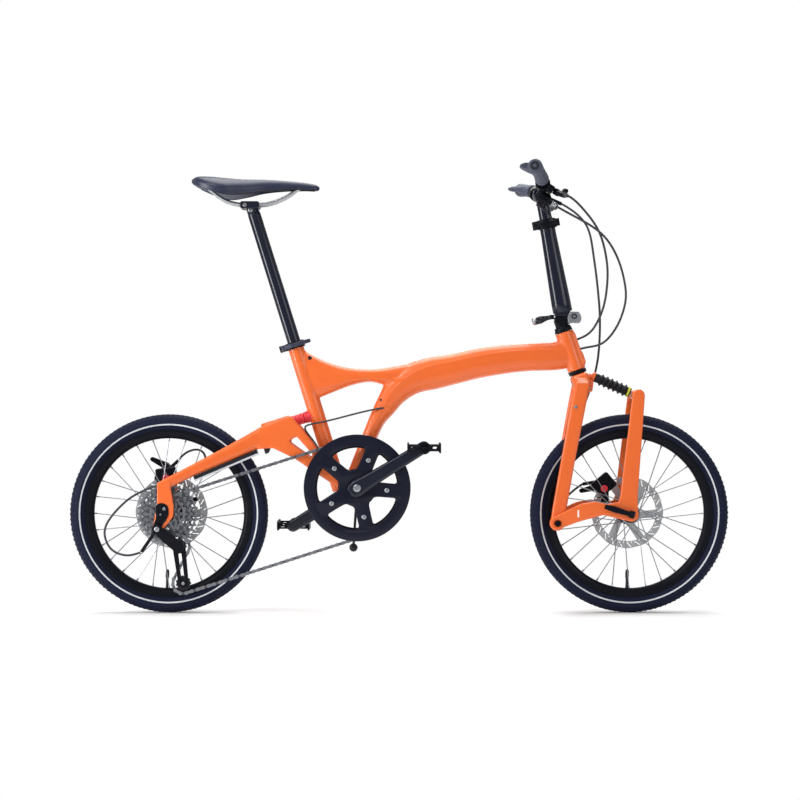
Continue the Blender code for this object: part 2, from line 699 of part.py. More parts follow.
def seat_post():
    """A tube with a forged head that holds the two saddle rails."""
    hole, radius = POST_DIAMETER / 2 - POST_WALL, POST_DIAMETER / 2
    tube_top = POST_EXPOSED - 20 * MM
    obj = sleeve("seat_post", hole, radius, -POST_INSERTED, tube_top, SEAT_TOP, SEAT_UP)
    neck_foot = SEAT_TOP + SEAT_UP * (tube_top - 10 * MM)
    neck = rod("neck", neck_foot, POST_TOP - Vector((0, 0, 3 * MM)), radius - 1 * MM, 14)
    clamp_middle = POST_TOP - Vector((2 * MM, 0, 1 * MM))
    clamp = block("rail_clamp", clamp_middle, (44 * MM, 56 * MM, 17 * MM), edge=3 * MM)
    union(obj, neck, clamp)
    cut(obj, rail_tube("rail_grooves", GAP))
    return piece(obj, "seat_post", BLACK)


def saddle_rails():
    return piece(rail_tube("saddle_rails", 0), "saddle_rails", STEEL)


def saddle():
    """A crowned cushion on a drawn-in shell: wide wings at the rear, a narrow nose in front."""
    back = POST_TOP.x - 128 * MM
    high = POST_TOP.z + 61 * MM
    stations = (
        (0.00, 0.34, -4, -15, 5), (0.05, 0.74, 1, -22, 7),
        (0.16, 0.98, 0, -34, 13), (0.28, 0.98, -3, -43, 18),
        (0.42, 0.66, -5, -40, 21), (0.56, 0.40, -5, -33, 20),
        (0.72, 0.28, -7, -29, 17), (0.88, 0.235, -11, -28, 14),
        (0.97, 0.20, -15, -29, 12), (1.00, 0.11, -19, -28, 8),
    )
    rings = []
    for along, wide, crown, wing, hollow in stations:
        half = wide * SADDLE_WIDTH / 2
        x = back + along * SADDLE_LENGTH
        top, low = high + crown * MM, high + wing * MM
        under = low + hollow * 0.55 * MM
        side = [
            (0.0, top), (0.42, top - 1 * MM), (0.8, top - 0.18 * (top - low)), (1.0, top - 0.55 * (top - low)),
            (0.96, low), (0.55, under),
        ]
        ring = [Vector((x, half * w, z)) for w, z in side]
        ring.append(Vector((x, 0, under + 2 * MM)))
        ring += [Vector((x, -half * w, z)) for w, z in reversed(side[1:])]
        rings.append(ring)
    obj = loft("saddle", rings)
    skin = obj.modifiers.new("Subdivision", "SUBSURF")
    skin.levels = 1
    skin.render_levels = 1
    cut(obj, rail_tube("rail_sockets", GAP))
    return piece(obj, "saddle", SADDLE_SKIN)


# Rear arm

def rear_swingarm():
    """Two arms joined by a bridge in front of the tyre, with triangular plates that swing on the crank cups."""
    ear = arc((CRANK_AXIS.x, CRANK_AXIS.z), 24 * MM, 105, -128, 7)
    outline = ear + [crank(-138, 64), crank(-184, 86), crank(-216, 84), crank(-216, 130), crank(-145, 157),
                     crank(-120, 128.5), crank(-56, 36)]
    window = rounded([crank(-151, 101), crank(-133, 112), crank(-74, 46.5)], 4 * MM, 2)
    forward = -SEAT_BACK
    obj = block("rear_swingarm", CRANK_AXIS + Vector((-176.7 * MM, 0, 134 * MM)),
                (66 * MM, 2 * REAR_PLATE_INNER + 3 * MM, 30 * MM), forward, 3 * MM)
    middle = (REAR_PLATE_INNER + REAR_PLATE_OUTER) / 2
    dropout_y = DROPOUT_INNER + DROPOUT_THICKNESS / 2
    for side in (-1, 1):
        low, high = sorted((side * REAR_PLATE_INNER, side * REAR_PLATE_OUTER))
        yoke = plate("yoke", [outline, window], low, high)
        arm = loft("arm", [section(*pair, half * MM, side * y, 6) for pair, half, y in (
            ((crank(-190, 140), crank(-190, 90)), 6, middle),
            ((crank(-216, 131), crank(-216, 83)), 7, middle + 1 * MM),
            ((crank(-280, 94.6), crank(-280, 56)), 6.5, 46 * MM),
            ((rear(52, 108), rear(52, 79.5)), 5.6, 61 * MM),
            ((rear(-3, 79), rear(-6, 51)), 5.2, dropout_y),
            ((rear(-11, 76), rear(-13, 54)), 4.5, dropout_y),
        )])
        hanger = [rear(-19, 20), rear(-19, 70), rear(-8, 74), rear(8, 70), rear(17, 20)]
        if side < 0:
            foot = arc(rear(-18, -30.5), 11 * MM, -20, -190, 4)
            outer = hanger + [rear(16, -4)] + foot
        else:
            outer = hanger + arc(rear(0, 0), 16.5 * MM, -5, -175, 5)
        low, high = sorted((side * DROPOUT_INNER, side * (DROPOUT_INNER + DROPOUT_THICKNESS)))
        dropout = plate("dropout", [outer, round_hole(rear(0, 0), AXLE_DIAMETER / 2 + GAP, 10)], low, high)
        union(obj, yoke, arm, dropout)
    bearing = CUP_DIAMETER / 2 + GAP
    cut(
        obj,
        bore("cup_holes", bearing, -REAR_HUB_WIDTH, REAR_HUB_WIDTH, CRANK_AXIS),
        bore("shell_room", SHELL_DIAMETER / 2 + 3 * MM,
             -SHELL_WIDTH / 2 - GAP, SHELL_WIDTH / 2 + GAP, CRANK_AXIS),
    )
    return piece(obj, "rear_swingarm", ORANGE)


def rear_elastomer():
    """A red block of elastomer, ringed by three grooves, between the bridge and the seat tube."""
    end, axis = elastomer_seat()
    radius, length = ELASTOMER_DIAMETER / 2, ELASTOMER_LENGTH
    profile = [(0, 0), (radius - 1 * MM, 0), (radius, -2 * MM)]
    for k in (1, 2, 3):
        middle = -length * k / 4
        profile += [(radius, middle + 2 * MM), (radius - 1.5 * MM, middle), (radius, middle - 2 * MM)]
    profile += [(radius, 2 * MM - length), (radius - 1 * MM, -length), (0, -length)]
    return piece(turned("rear_elastomer", profile, end - axis * GAP, axis, 12), "rear_elastomer", RED)


# Brakes

def caliper(name, axle, y, angle, arm_at, foot_centre, foot_size, stop):
    """A two-piston caliper that straddles the rotor, with a bracket foot on the arm and a cable stop."""
    out = Vector((cos(angle), 0, sin(angle)))
    along = Vector((out.z, 0, -out.x))
    track = ROTOR_DIAMETER / 2 - ROTOR_TRACK / 2
    middle = axle + out * (track + 8 * MM) + Y_AXIS * y
    obj = block(name, middle, (46 * MM, 22 * MM, 38 * MM), along, 3 * MM)
    piston = drum("piston", 11 * MM, -15 * MM, 13 * MM, middle - out * 4 * MM, Y_AXIS, 12)
    boss = drum("arm_boss", 7.5 * MM, y, arm_at.y - 2 * MM - GAP, Vector((arm_at.x, 0, arm_at.z)), Y_AXIS, 10)
    holder = rod("stop", middle + out * 10 * MM + Y_AXIS * 7 * MM, stop, 4 * MM, 10)
    union(obj, piston, boss, holder, block("foot", foot_centre, foot_size))
    cut(obj, bore("rotor_slot", ROTOR_DIAMETER / 2 + 2 * MM, y - ROTOR_THICKNESS / 2 - 0.8 * MM,
                  y + ROTOR_THICKNESS / 2 + 0.8 * MM, axle, Y_AXIS, 30))
    return piece(obj, name, BLACK)


def caliper_arm(name, centre, reach):
    """The cable arm of a caliper: a tapered plate that turns on the outer piston."""
    along = reach.normalized()
    across = Vector((-along.z, 0, along.x))
    tip = centre + reach
    outline = []
    for point, radius, turn in ((tip, 5 * MM, 0), (centre, 8.5 * MM, pi)):
        for k in range(5):
            a = -pi / 2 + turn + pi * k / 4
            edge = point + along * cos(a) * radius + across * sin(a) * radius
            outline.append((edge.x, edge.z))
    half = 2 * MM
    return piece(plate(name, [outline], centre.y - half, centre.y + half), name, BLACK)


FRONT_CALIPER_ANGLE = radians(130)
REAR_CALIPER_ANGLE = radians(98)
FRONT_ARM_PIVOT = FRONT_AXLE + Vector((-50 * MM, FRONT_ROTOR_Y + 19 * MM, 59 * MM))
FRONT_ARM_TIP = FRONT_ARM_PIVOT + Vector((-50 * MM, 0, -12 * MM))
FRONT_CABLE_STOP = FRONT_AXLE + Vector((-98 * MM, FRONT_ROTOR_Y + 10 * MM, 62 * MM))
REAR_ARM_PIVOT = REAR_AXLE + Vector((-12 * MM, REAR_ROTOR_Y + 18.5 * MM, 101 * MM))
REAR_ARM_TIP = REAR_ARM_PIVOT + Vector((-33 * MM, 0, 16 * MM))
REAR_CABLE_STOP = REAR_AXLE + Vector((15 * MM, REAR_ROTOR_Y + 8 * MM, 115 * MM))


# Drive

def pitch_radius(teeth):
    return CHAIN_PITCH / (2 * sin(pi / teeth))


def inside_chain(teeth):
    """The largest radius that stays clear of the chain's inner side, which runs in straight links."""
    radius = pitch_radius(teeth)
    return radius - CHAIN_HALF_HEIGHT - CHAIN_PITCH ** 2 / (8 * radius) - GAP


def chain_circles():
    """The wheels that the chain runs round, in order, with the way each one turns."""
    flat = [(CRANK_AXIS, CHAINRING_TEETH, -1), (TENSION_PULLEY, PULLEY_TEETH, -1),
            (GUIDE_PULLEY, PULLEY_TEETH, 1), (REAR_AXLE, SPROCKET_TEETH[WORKING_SPROCKET], -1)]
    return [(Vector((centre.x, centre.z)), pitch_radius(teeth), turn) for centre, teeth, turn in flat]


def chain_path():
    """Closed run of (start, end) lines and arcs, tangent to every wheel of the chain."""
    wheels = chain_circles()
    tangents = []
    for (a, ra, ta), (b, rb, tb) in zip(wheels, wheels[1:] + wheels[:1]):
        line = b - a
        base = atan2(line.y, line.x)
        lean = acos((ra * ta - rb * tb) / line.length)
        normal = base - lean
        across = Vector((cos(normal), sin(normal)))
        tangents.append((a + across * ra * ta, b + across * rb * tb))
    run = []
    for k, (centre, radius, turn) in enumerate(wheels):
        enter, leave = tangents[k - 1][1] - centre, tangents[k][0] - centre
        start = atan2(enter.y, enter.x)
        sweep = (atan2(leave.y, leave.x) - start) * turn % tau * turn
        run.append(("arc", centre, radius, start, sweep))
        run.append(("line", tangents[k][0], tangents[k][1]))
    return run


def chain_point(run, distance):
    """The place and direction at a distance along the chain's path."""
    for kind, *data in run:
        if kind == "line":
            start, end = data
            length = (end - start).length
            if distance <= length:
                return start.lerp(end, distance / length), (end - start).normalized()
        else:
            centre, radius, start, sweep = data
            length = radius * abs(sweep)
            if distance <= length:
                angle = start + sweep * distance / length
                turn = 1 if sweep > 0 else -1
                return (centre + radius * Vector((cos(angle), sin(angle))),
                        turn * Vector((-sin(angle), cos(angle))))
        distance -= length
    return chain_point(run, 0)


def chain():
    """One loop of links: wide outer and narrow inner plates take turns along it."""
    run = chain_path()
    total = sum((data[1] - data[0]).length if kind == "line" else data[1] * abs(data[3]) for kind, *data in run)
    links = 2 * round(total / CHAIN_PITCH / 2)
    pitch = total / links
    bm = bmesh.new()
    rings = []
    for k in range(links):
        outer = k % 2 == 0
        half_width = (OUTER_LINK_WIDTH if outer else INNER_LINK_WIDTH) / 2
        half_height = CHAIN_HALF_HEIGHT if outer else CHAIN_WAIST
        place, way = chain_point(run, (k + 0.5) * pitch)
        normal = Vector((-way.y, way.x))
        ring = []
        for a, b in ((1, 1), (-1, 1), (-1, -1), (1, -1)):
            edge = place + normal * half_height * a
            ring.append(bm.verts.new((edge.x, -CHAIN_LINE + half_width * b, edge.y)))
        rings.append(ring)
    for low, high in zip(rings, rings[1:] + rings[:1]):
        for i in range(4):
            j = (i + 1) % 4
            bm.faces.new((low[i], low[j], high[j], high[i]))
    return piece(mesh_object("chain", bm), "chain", STEEL)


def spider_window(centre, start, inner, outer):
    """One opening between two arms of the chainring or its guard."""
    return arc(centre, outer, start + 11, start + 61, 4) + arc(centre, inner, start + 50, start + 22, 1)


def chainring():
    """A toothed ring whose tips stay just inside the chain, with five arms to the bolt circle."""
    centre = (CRANK_AXIS.x, CRANK_AXIS.z)
    tip = inside_chain(CHAINRING_TEETH)
    root = tip - 3 * MM
    turn = 360 / CHAINRING_TEETH
    outline = []
    for k in range(CHAINRING_TEETH):
        outline += [arc(centre, root, turn * k, 0, 1)[0], arc(centre, tip, turn * (k + 0.5), 0, 1)[0]]
    holes = [round_hole(centre, SPINDLE_DIAMETER / 2 + 12 * MM, 12)]
    holes += [spider_window(centre, 67.5 + 72 * k, 42 * MM, tip - 13 * MM) for k in range(5)]
    half = CHAINRING_THICKNESS / 2
    ring = plate("chainring", [outline, *holes], -CHAIN_LINE - half, -CHAIN_LINE + half)
    return piece(ring, "chainring", STEEL)


def guard_plane():
    return -CHAIN_LINE - OUTER_LINK_WIDTH / 2 - 0.4 * MM


def chain_guard():
    """A ring outside the chain, on five arms that are bolted to the chainring."""
    centre = (CRANK_AXIS.x, CRANK_AXIS.z)
    outer = guard_plane()
    holes = [round_hole(centre, SPINDLE_DIAMETER / 2 + 10 * MM + GAP, 12)]
    holes += [spider_window(centre, 67.5 + 72 * k, 40 * MM, 91 * MM) for k in range(5)]
    rim_points = circle(centre, GUARD_DIAMETER / 2, 32)
    obj = plate("chain_guard", [rim_points, *holes], outer - GUARD_THICKNESS, outer)
    ring_face = -CHAIN_LINE - CHAINRING_THICKNESS / 2 - GAP
    for k in range(5):
        angle = radians(67.5 + 72 * k)
        bolt = CRANK_AXIS + Vector((cos(angle), 0, sin(angle))) * BOLT_CIRCLE / 2
        union(obj, drum("bolt", 5.5 * MM, outer - GUARD_THICKNESS - 1.5 * MM, ring_face, bolt, Y_AXIS, 6))
    return piece(obj, "chain_guard", SATIN)


def crank_arm(name, pedal, y_in, y_out):
    """A tapered forged arm from the spindle to the pedal eye."""
    along = (pedal - CRANK_AXIS).normalized()
    across = Vector((-along.z, 0, along.x))
    rings = []
    for s, half in ((-19, 9), (-13, 16), (0, 19), (22, 16.5), (90, 14.5), (150, 13.5), (168, 13), (180, 8)):
        middle = CRANK_AXIS + along * s * MM * (CRANK_LENGTH / (170 * MM))
        ring = []
        for a, b in (
            (1, 0.55), (0.75, 1), (-0.75, 1), (-1, 0.55), (-1, -0.55), (-0.75, -1), (0.75, -1), (1, -0.55),
        ):
            y = (y_in + y_out) / 2 + abs(y_out - y_in) / 2 * b
            ring.append(middle + across * half * a * MM + Y_AXIS * y)
        rings.append(ring)
    return loft(name, rings)


def right_crank():
    """The driven arm with its boss and the spindle that runs through the cups."""
    inner = guard_plane() - GUARD_THICKNESS - 1 * MM
    obj = crank_arm("right_crank", RIGHT_PEDAL, inner, inner - 14 * MM)
    boss_radius = SPINDLE_DIAMETER / 2 + 10 * MM
    boss = drum("boss", boss_radius, inner - 7 * MM, -REAR_PLATE_OUTER - 2 * MM, CRANK_AXIS)
    spindle_end = left_crank_face() + 13 * MM
    spindle = drum("spindle", SPINDLE_DIAMETER / 2, -REAR_PLATE_OUTER - 4 * MM, spindle_end, CRANK_AXIS)
    return piece(union(obj, boss, spindle), "right_crank", BLACK)


def left_crank_face():
    return REAR_PLATE_OUTER + 5 * MM


def left_crank():
    inner = left_crank_face()
    obj = crank_arm("left_crank", LEFT_PEDAL, inner, inner + 14 * MM)
    cut(obj, bore("spindle_bore", SPINDLE_DIAMETER / 2 + GAP, 0, inner + 13.3 * MM, CRANK_AXIS))
    return piece(obj, "left_crank", BLACK)


def pedal(name, centre, side, y_face):
    """A cage pedal: end plates and toothed bars round a bearing barrel."""
    half = PEDAL_LENGTH / 2
    near, far = side * (y_face + 3 * MM), side * (y_face + 3 * MM + PEDAL_WIDTH)
    barrel_start = side * (y_face + GAP)
    obj = drum(name, 11 * MM, min(barrel_start, far), max(barrel_start, far), centre, Y_AXIS, 10)
    for y in (near, far - side * 5 * MM):
        bulge = 13.5 * MM
        top = arc((centre.x, centre.z), bulge, 150, 30, 2)
        low = arc((centre.x, centre.z), bulge, -30, -150, 2)
        end = PEDAL_HEIGHT / 2 - 4 * MM
        outline = [(centre.x - half + 3 * MM, centre.z - end), (centre.x - half + 3 * MM, centre.z + end), *top,
                   (centre.x + half - 3 * MM, centre.z + end), (centre.x + half - 3 * MM, centre.z - end), *low]
        union(obj, plate("end", [outline], min(y, y + side * 5 * MM), max(y, y + side * 5 * MM)))
    for way in (-1, 1):
        bar = Vector((centre.x + way * (half - 2 * MM), (near + far) / 2, centre.z))
        union(obj, block("bar", bar, (4 * MM, PEDAL_WIDTH - 1 * MM, PEDAL_HEIGHT)))
    return piece(obj, name, SATIN)


def cassette():
    """Nine sprockets with spacers between them, largest next to the spokes."""
    hole, half = across_flats(CASSETTE_BORE / 2, 14), SPROCKET_THICKNESS / 2
    spacer = hole + 4 * MM
    profile = []
    for k in reversed(range(len(SPROCKET_TEETH))):
        y = -CHAIN_LINE + (k - WORKING_SPROCKET) * SPROCKET_SPACING
        radius = pitch_radius(SPROCKET_TEETH[k]) + 2 * MM
        if k == WORKING_SPROCKET:
            radius = inside_chain(SPROCKET_TEETH[k])
        profile += [(spacer, y + half), (radius, y + half), (radius, y - half), (spacer, y - half)]
    profile[0] = (hole, profile[0][1])
    profile[-1] = (hole, profile[-1][1])
    return piece(turned("cassette", profile, REAR_AXLE, steps=14, ring=True), "cassette", STEEL)


def pulley(name, centre):
    radius = inside_chain(PULLEY_TEETH)
    half, slim = PULLEY_WIDTH / 2, 1.3 * MM
    hole = across_flats(3.3 * MM, 11)
    profile = [(hole, half), (8 * MM, half), (10 * MM, slim), (radius, slim), (radius, -slim), (10 * MM, -slim),
               (8 * MM, -half), (hole, -half)]
    return piece(turned(name, profile, centre - Y_AXIS * CHAIN_LINE, steps=11, ring=True), name, SATIN)


def derailleur():
    """The rear gear: a knuckle on the hanger, slanted links, and a cage that carries two pulleys."""
    outer = DROPOUT_INNER + DROPOUT_THICKNESS + GAP
    cage_out = CHAIN_LINE + PULLEY_WIDTH / 2 + 3.5 * MM
    cage_in = CHAIN_LINE - PULLEY_WIDTH / 2 - 2.5 * MM
    obj = drum("derailleur", 11 * MM, -outer - 12 * MM, -outer, HANGER_BOLT, Y_AXIS, 12)
    start = HANGER_BOLT - Y_AXIS * (outer + 6 * MM)
    end = GUIDE_PULLEY - Y_AXIS * (cage_out + 12 * MM)
    way = Vector((end.x - start.x, 0, end.z - start.z)).normalized()
    across = Vector((-way.z, 0, way.x))
    links = loft("links", [
        [middle + across * half * a * MM + Y_AXIS * 4.5 * b * MM
         for a, b in ((1, 1), (-1, 1), (-1, -1), (1, -1))]
        for middle, half in ((start, 10), (start + way * 28 * MM, 12), (end, 12))
    ])
    knuckle = drum("knuckle", 13 * MM, -cage_out - 19 * MM, -cage_out + 1 * MM, GUIDE_PULLEY, Y_AXIS, 12)
    stop = rod("cable_stop", start - across * 2 * MM, cable_stop(), 4 * MM, 8)
    union(obj, links, knuckle, stop)
    down = (TENSION_PULLEY - GUIDE_PULLEY).normalized()
    lean = atan2(down.z, down.x) * 180 / pi
    ends = ((GUIDE_PULLEY.x, GUIDE_PULLEY.z), (TENSION_PULLEY.x, TENSION_PULLEY.z))
    outline = arc(ends[1], 11 * MM, lean - 80, lean + 80, 4) + arc(ends[0], 14 * MM, lean + 100, lean + 260, 4)
    window = arc(ends[1], 5 * MM, lean + 130, lean + 230, 1) + arc(ends[0], 5 * MM, lean - 50, lean + 50, 1)
    for y in (-cage_out, -cage_in):
        union(obj, plate("cage", [outline, window], y - 1.2 * MM, y + 1.2 * MM))
    for centre in (GUIDE_PULLEY, TENSION_PULLEY):
        union(obj, drum("pulley_pin", 3 * MM, -cage_out - 2 * MM, -cage_in + 2 * MM, centre, Y_AXIS, 8))
    return piece(obj, "derailleur", BLACK)


def cable_stop():
    return REAR_AXLE + Vector((-52 * MM, -84 * MM, -80 * MM))


# Fork and front arm

def fork():
    """Two square legs under a crown, ending in the pivot of the front arm, with the spring hook in front."""
    crown_at = HEAD_LOW - HEAD_UP * (CROWN_RACE + GAP + 15 * MM)
    forward = Vector((HEAD_UP.z, 0, -HEAD_UP.x))
    obj = block("fork", crown_at, (38 * MM, 62 * MM, 30 * MM), forward, 5 * MM)
    leg_y = LEG_INNER + LEG_THICKNESS / 2
    for side in (-1, 1):
        rings = []
        for point, y, depth, thick in (
            (crown_at + HEAD_UP * 5 * MM, 23 * MM, 15, 10), (crown_at - HEAD_UP * 6 * MM, 34 * MM, 17, 13),
            (in_side_view(pivot(47, 262), 0), leg_y, 16.5, 8),
            (in_side_view(pivot(24, 140), 0), leg_y, 15.5, 8),
            (in_side_view(pivot(5, 32), 0), leg_y, 15.5, 8), (in_side_view(pivot(0, 0), 0), leg_y, 15, 8),
        ):
            rings.append([
                Vector((
                    point.x + depth * MM * (LEG_DEPTH / (31 * MM)) * a,
                    side * (y + thick * MM * b), point.z,
                ))
                for a, b in (
                    (1, 0.6), (0.75, 1), (-0.75, 1), (-1, 0.6),
                    (-1, -0.6), (-0.75, -1), (0.75, -1), (1, -0.6),
                )
            ])
        low, high = sorted((side * LEG_INNER, side * (LEG_INNER + LEG_THICKNESS)))
        eye = drum("eye", 17 * MM, low, high, FORK_PIVOT, Y_AXIS, 14)
        pin = drum("pin", 6.5 * MM, min(side * LEG_INNER, side * (FRONT_ARM_OUTER + 2 * MM)),
                   max(side * LEG_INNER, side * (FRONT_ARM_OUTER + 2 * MM)), FORK_PIVOT, Y_AXIS, 8)
        union(obj, loft("leg", rings), eye, pin)
    hook_end, hook_axis = bellows_ends()
    cup = rod("spring_cup", hook_end - hook_axis * 8 * MM, hook_end, 11 * MM, 12)
    hook = rod("spring_hook", crown_at + forward * 6 * MM, hook_end - hook_axis * 8 * MM, 8 * MM, 8)
    union(obj, cup, hook)
    socket_radius = STEERER_DIAMETER / 2 + GAP
    cut(obj, bore("steerer_socket", socket_radius, -CROWN_RACE - 24 * MM, 20 * MM, HEAD_LOW, HEAD_UP))
    return piece(obj, "fork", ORANGE)


def steerer():
    """The steerer tube with the lower half of the folding hinge on top."""
    radius = STEERER_DIAMETER / 2
    low = -CROWN_RACE - 23 * MM
    base = HINGE_PIN + Vector((-24 * MM, 0, -8 * MM))
    high = (base - HEAD_LOW).dot(HEAD_UP)
    obj = drum("steerer", radius, low, high, HEAD_LOW, HEAD_UP)
    union(obj, block("hinge_base", base, (36 * MM, 35 * MM, 15.4 * MM)))
    for side in (-1, 1):
        faces = sorted((side * 10.4 * MM, side * 17.4 * MM))
        lug = drum("lug", 8 * MM, *faces, HINGE_PIN)
        root_middle = HINGE_PIN + Vector((-7 * MM, side * 13.9 * MM, -5 * MM))
        bridge = block("lug_root", root_middle, (12 * MM, 6.8 * MM, 5 * MM))
        union(obj, lug, bridge)
    cut(obj, block("swing_room", HINGE_PIN + Vector((-2 * MM, 0, 0)), (24 * MM, 20.4 * MM, 26 * MM)))
    pin = drum("hinge_pin", 3.5 * MM, -17 * MM, 17 * MM, HINGE_PIN, Y_AXIS, 12)
    return piece(union(obj, pin), "steerer", BLACK)


def bellows_ends():
    """The rear end of the front spring and the way it points, towards the bridge of the front arm."""
    rear_end = in_side_view(pivot(86, 318), 0)
    front_end = in_side_view(pivot(164, 284), 0)
    return rear_end, (front_end - rear_end).normalized()


def front_bellows():
    """A ribbed rubber sleeve over the spring, between the fork hook and the arm's bridge."""
    start, axis = bellows_ends()
    length = (in_side_view(pivot(164, 284), 0) - start).length - 2 * GAP
    high, low = BELLOWS_DIAMETER / 2, BELLOWS_DIAMETER / 2 - 4 * MM
    cuff = 9 * MM
    rib = (length - 2 * cuff) / BELLOWS_RIBS
    profile = [(0, length), (low, length), (low, length - cuff)]
    for k in range(BELLOWS_RIBS):
        top = length - cuff - rib * k
        profile += [(high, top - rib * 0.35), (high, top - rib * 0.6), (low, top - rib)]
    profile += [(low, 0), (0, 0)]
    return piece(turned("front_bellows", profile, start + axis * GAP, axis, 12), "front_bellows", SATIN)


def front_swingarm():
    """Two L-shaped sides, arm and strut in one, joined by a bridge over the tyre."""
    _, spring_axis = bellows_ends()
    bridge_at = in_side_view(pivot(164, 284), 0) + spring_axis * 13.3 * MM
    side_view = (
        arc(pivot(0, 0), 17 * MM, 250, 105, 7)
        + [pivot(49, 42), pivot(80, 48), pivot(108, 42), pivot(132, 46), pivot(136, 60)]
        + [pivot(164, 284)]
        + arc((bridge_at.x, bridge_at.z), 13.5 * MM, 175, -5, 6)
        + [pivot(174, 60)]
        + arc(pivot(160.5, 19.5), 16 * MM, 30, -100, 6)
        + [pivot(99, 18), pivot(44, 3)]
    )
    obj = rod("front_swingarm", bridge_at - Y_AXIS * (FRONT_ARM_INNER + 4 * MM),
              bridge_at + Y_AXIS * (FRONT_ARM_INNER + 4 * MM), 12 * MM, 14)
    for side in (-1, 1):
        low, high = sorted((side * FRONT_ARM_INNER, side * FRONT_ARM_OUTER))
        holes = [round_hole(pivot(0, 0), 6.8 * MM, 10), round_hole(front(0, 0), AXLE_DIAMETER / 2 + GAP, 10)]
        union(obj, plate("side", [side_view, *holes], low, high))
    return piece(obj, "front_swingarm", ORANGE)


# Cockpit

def handlepost():
    """A tapered post on the upper half of the folding hinge, bored for the height riser."""
    top = HANDLEPOST_LENGTH
    foot = HANDLEPOST_FOOT
    profile = [(0, top), (HANDLEPOST_TOP_DIAMETER / 2, top), (HANDLEPOST_TOP_DIAMETER / 2, top - 40 * MM),
               (HANDLEPOST_BASE_DIAMETER / 2, 26 * MM), (HANDLEPOST_BASE_DIAMETER / 2, 6 * MM), (0, 6 * MM)]
    obj = turned("handlepost", profile, foot, HANDLEPOST_UP, 14)
    union(obj, block("hinge_top", HINGE_PIN + Vector((-25 * MM, 0, 8.3 * MM)), (34 * MM, 35 * MM, 16 * MM)))
    lug = drum("middle_lug", 8 * MM, -9.9 * MM, 9.9 * MM, HINGE_PIN)
    root = block("lug_root", HINGE_PIN + Vector((-7 * MM, 0, 5 * MM)), (12 * MM, 19.8 * MM, 6 * MM))
    union(obj, lug, root)
    cut(
        obj,
        bore("riser_bore", RISER_DIAMETER / 2 + GAP, 34 * MM, top + 30 * MM, foot, HANDLEPOST_UP),
        bore("pin_bore", 3.8 * MM, -20 * MM, 20 * MM, HINGE_PIN, Y_AXIS, 12),
    )
    return piece(obj, "handlepost", BLACK)


def collar_middle():
    return HANDLEPOST_FOOT + HANDLEPOST_UP * (HANDLEPOST_LENGTH - 10 * MM)


def post_collar():
    """The height clamp at the top of the handlepost, with ears behind for its lever."""
    hole = HANDLEPOST_TOP_DIAMETER / 2 + GAP
    back = Vector((-HANDLEPOST_UP.z, 0, HANDLEPOST_UP.x))
    middle = collar_middle()
    obj = sleeve("post_collar", hole, hole + 4 * MM, -10 * MM, 10 * MM, middle, HANDLEPOST_UP)
    for side in (-1, 1):
        union(obj, block("ear", middle + back * (hole + 7 * MM) + Y_AXIS * side * 6 * MM,
                         (14 * MM, 8 * MM, 18 * MM), back))
    union(obj, block("front_boss", middle - back * (hole + 6 * MM), (10 * MM, 14 * MM, 16 * MM), back))
    slit = block("slit", middle + back * (hole + 8 * MM), (24 * MM, 3 * MM, 40 * MM), back)
    return piece(cut(obj, slit), "post_collar", BLACK)


def collar_lever_pivot():
    back = Vector((-HANDLEPOST_UP.z, 0, HANDLEPOST_UP.x))
    return collar_middle() + back * (HANDLEPOST_TOP_DIAMETER / 2 + 9 * MM) - Y_AXIS * 16 * MM


def side_lever(name, hub_point, up, forward, reach, material):
    """A small clamp lever that folds along the right side of a collar."""
    obj = rod(name, hub_point - up * 6 * MM, hub_point + up * 6 * MM, 5.6 * MM)
    rings = []
    for ahead, out, half in ((0, 2, 4.5), (0.3, 8.5, 4.5), (0.65, 9.5, 5), (1, 6, 4)):
        middle = hub_point + forward * ahead * reach - Y_AXIS * out * MM
        rings.append([middle + up * half * a * MM + Y_AXIS * 2 * b * MM
                      for a, b in ((1, 1), (-1, 1), (-1, -1), (1, -1))])
    return piece(union(obj, loft(name + "_blade", rings)), name, material)


def latch_pivot():
    return HINGE_PIN + Vector((-48.5 * MM, 0, -1 * MM))


def post_latch_lever():
    """The safety lever behind the folding hinge."""
    at = latch_pivot()
    obj = rod("post_latch_lever", at - Vector((0, 0, 5 * MM)), at + Vector((0, 0, 5 * MM)), 5.8 * MM)
    blade = loft("latch_blade", [
        [at + Vector((-s * MM, wide * a * MM, (drop + thick * b) * MM))
         for a, b in ((1, 1), (-1, 1), (-1, -1), (1, -1))]
        for s, wide, thick, drop in ((0, 4.5, 5, 0), (12, 9, 5, -3), (26, 9, 4.5, -7), (34, 6, 4, -9))
    ])
    return piece(union(obj, blade), "post_latch_lever", BLACK)


def bar_points():
    right = [(0, 0, 0), (0, 45, 0), (-2, 95, 7), (-8, 150, 20), (-19, 215, 29), (-31, 279, 36)]
    scale = BAR_HALF_WIDTH / 279
    run = [BAR_CENTRE + Vector((x * MM, -y * scale, z * MM)) for x, y, z in reversed(right)]
    run += [BAR_CENTRE + Vector((x * MM, y * scale, z * MM)) for x, y, z in right[1:]]
    return run


def bar_tube(name, grow):
    run = smooth(bar_points(), 2)
    radii = [(BAR_CLAMP_DIAMETER if abs(p.y) < 40 * MM else BAR_DIAMETER) / 2 + grow for p in run]
    run[0] += (run[0] - run[1]).normalized() * grow
    run[-1] += (run[-1] - run[-2]).normalized() * grow
    return tube(name, run, BAR_DIAMETER / 2 + grow, 2, radii)


def bar_at(y):
    """The bar's centre and outward direction at a distance from its middle."""
    run = smooth(bar_points(), 6)
    k = min(range(len(run) - 1), key=lambda i: abs(run[i].y - y))
    way = (run[k + 1] - run[k - 1]).normalized()
    return run[k] + way * (y - run[k].y) / way.y, way if y > 0 else -way


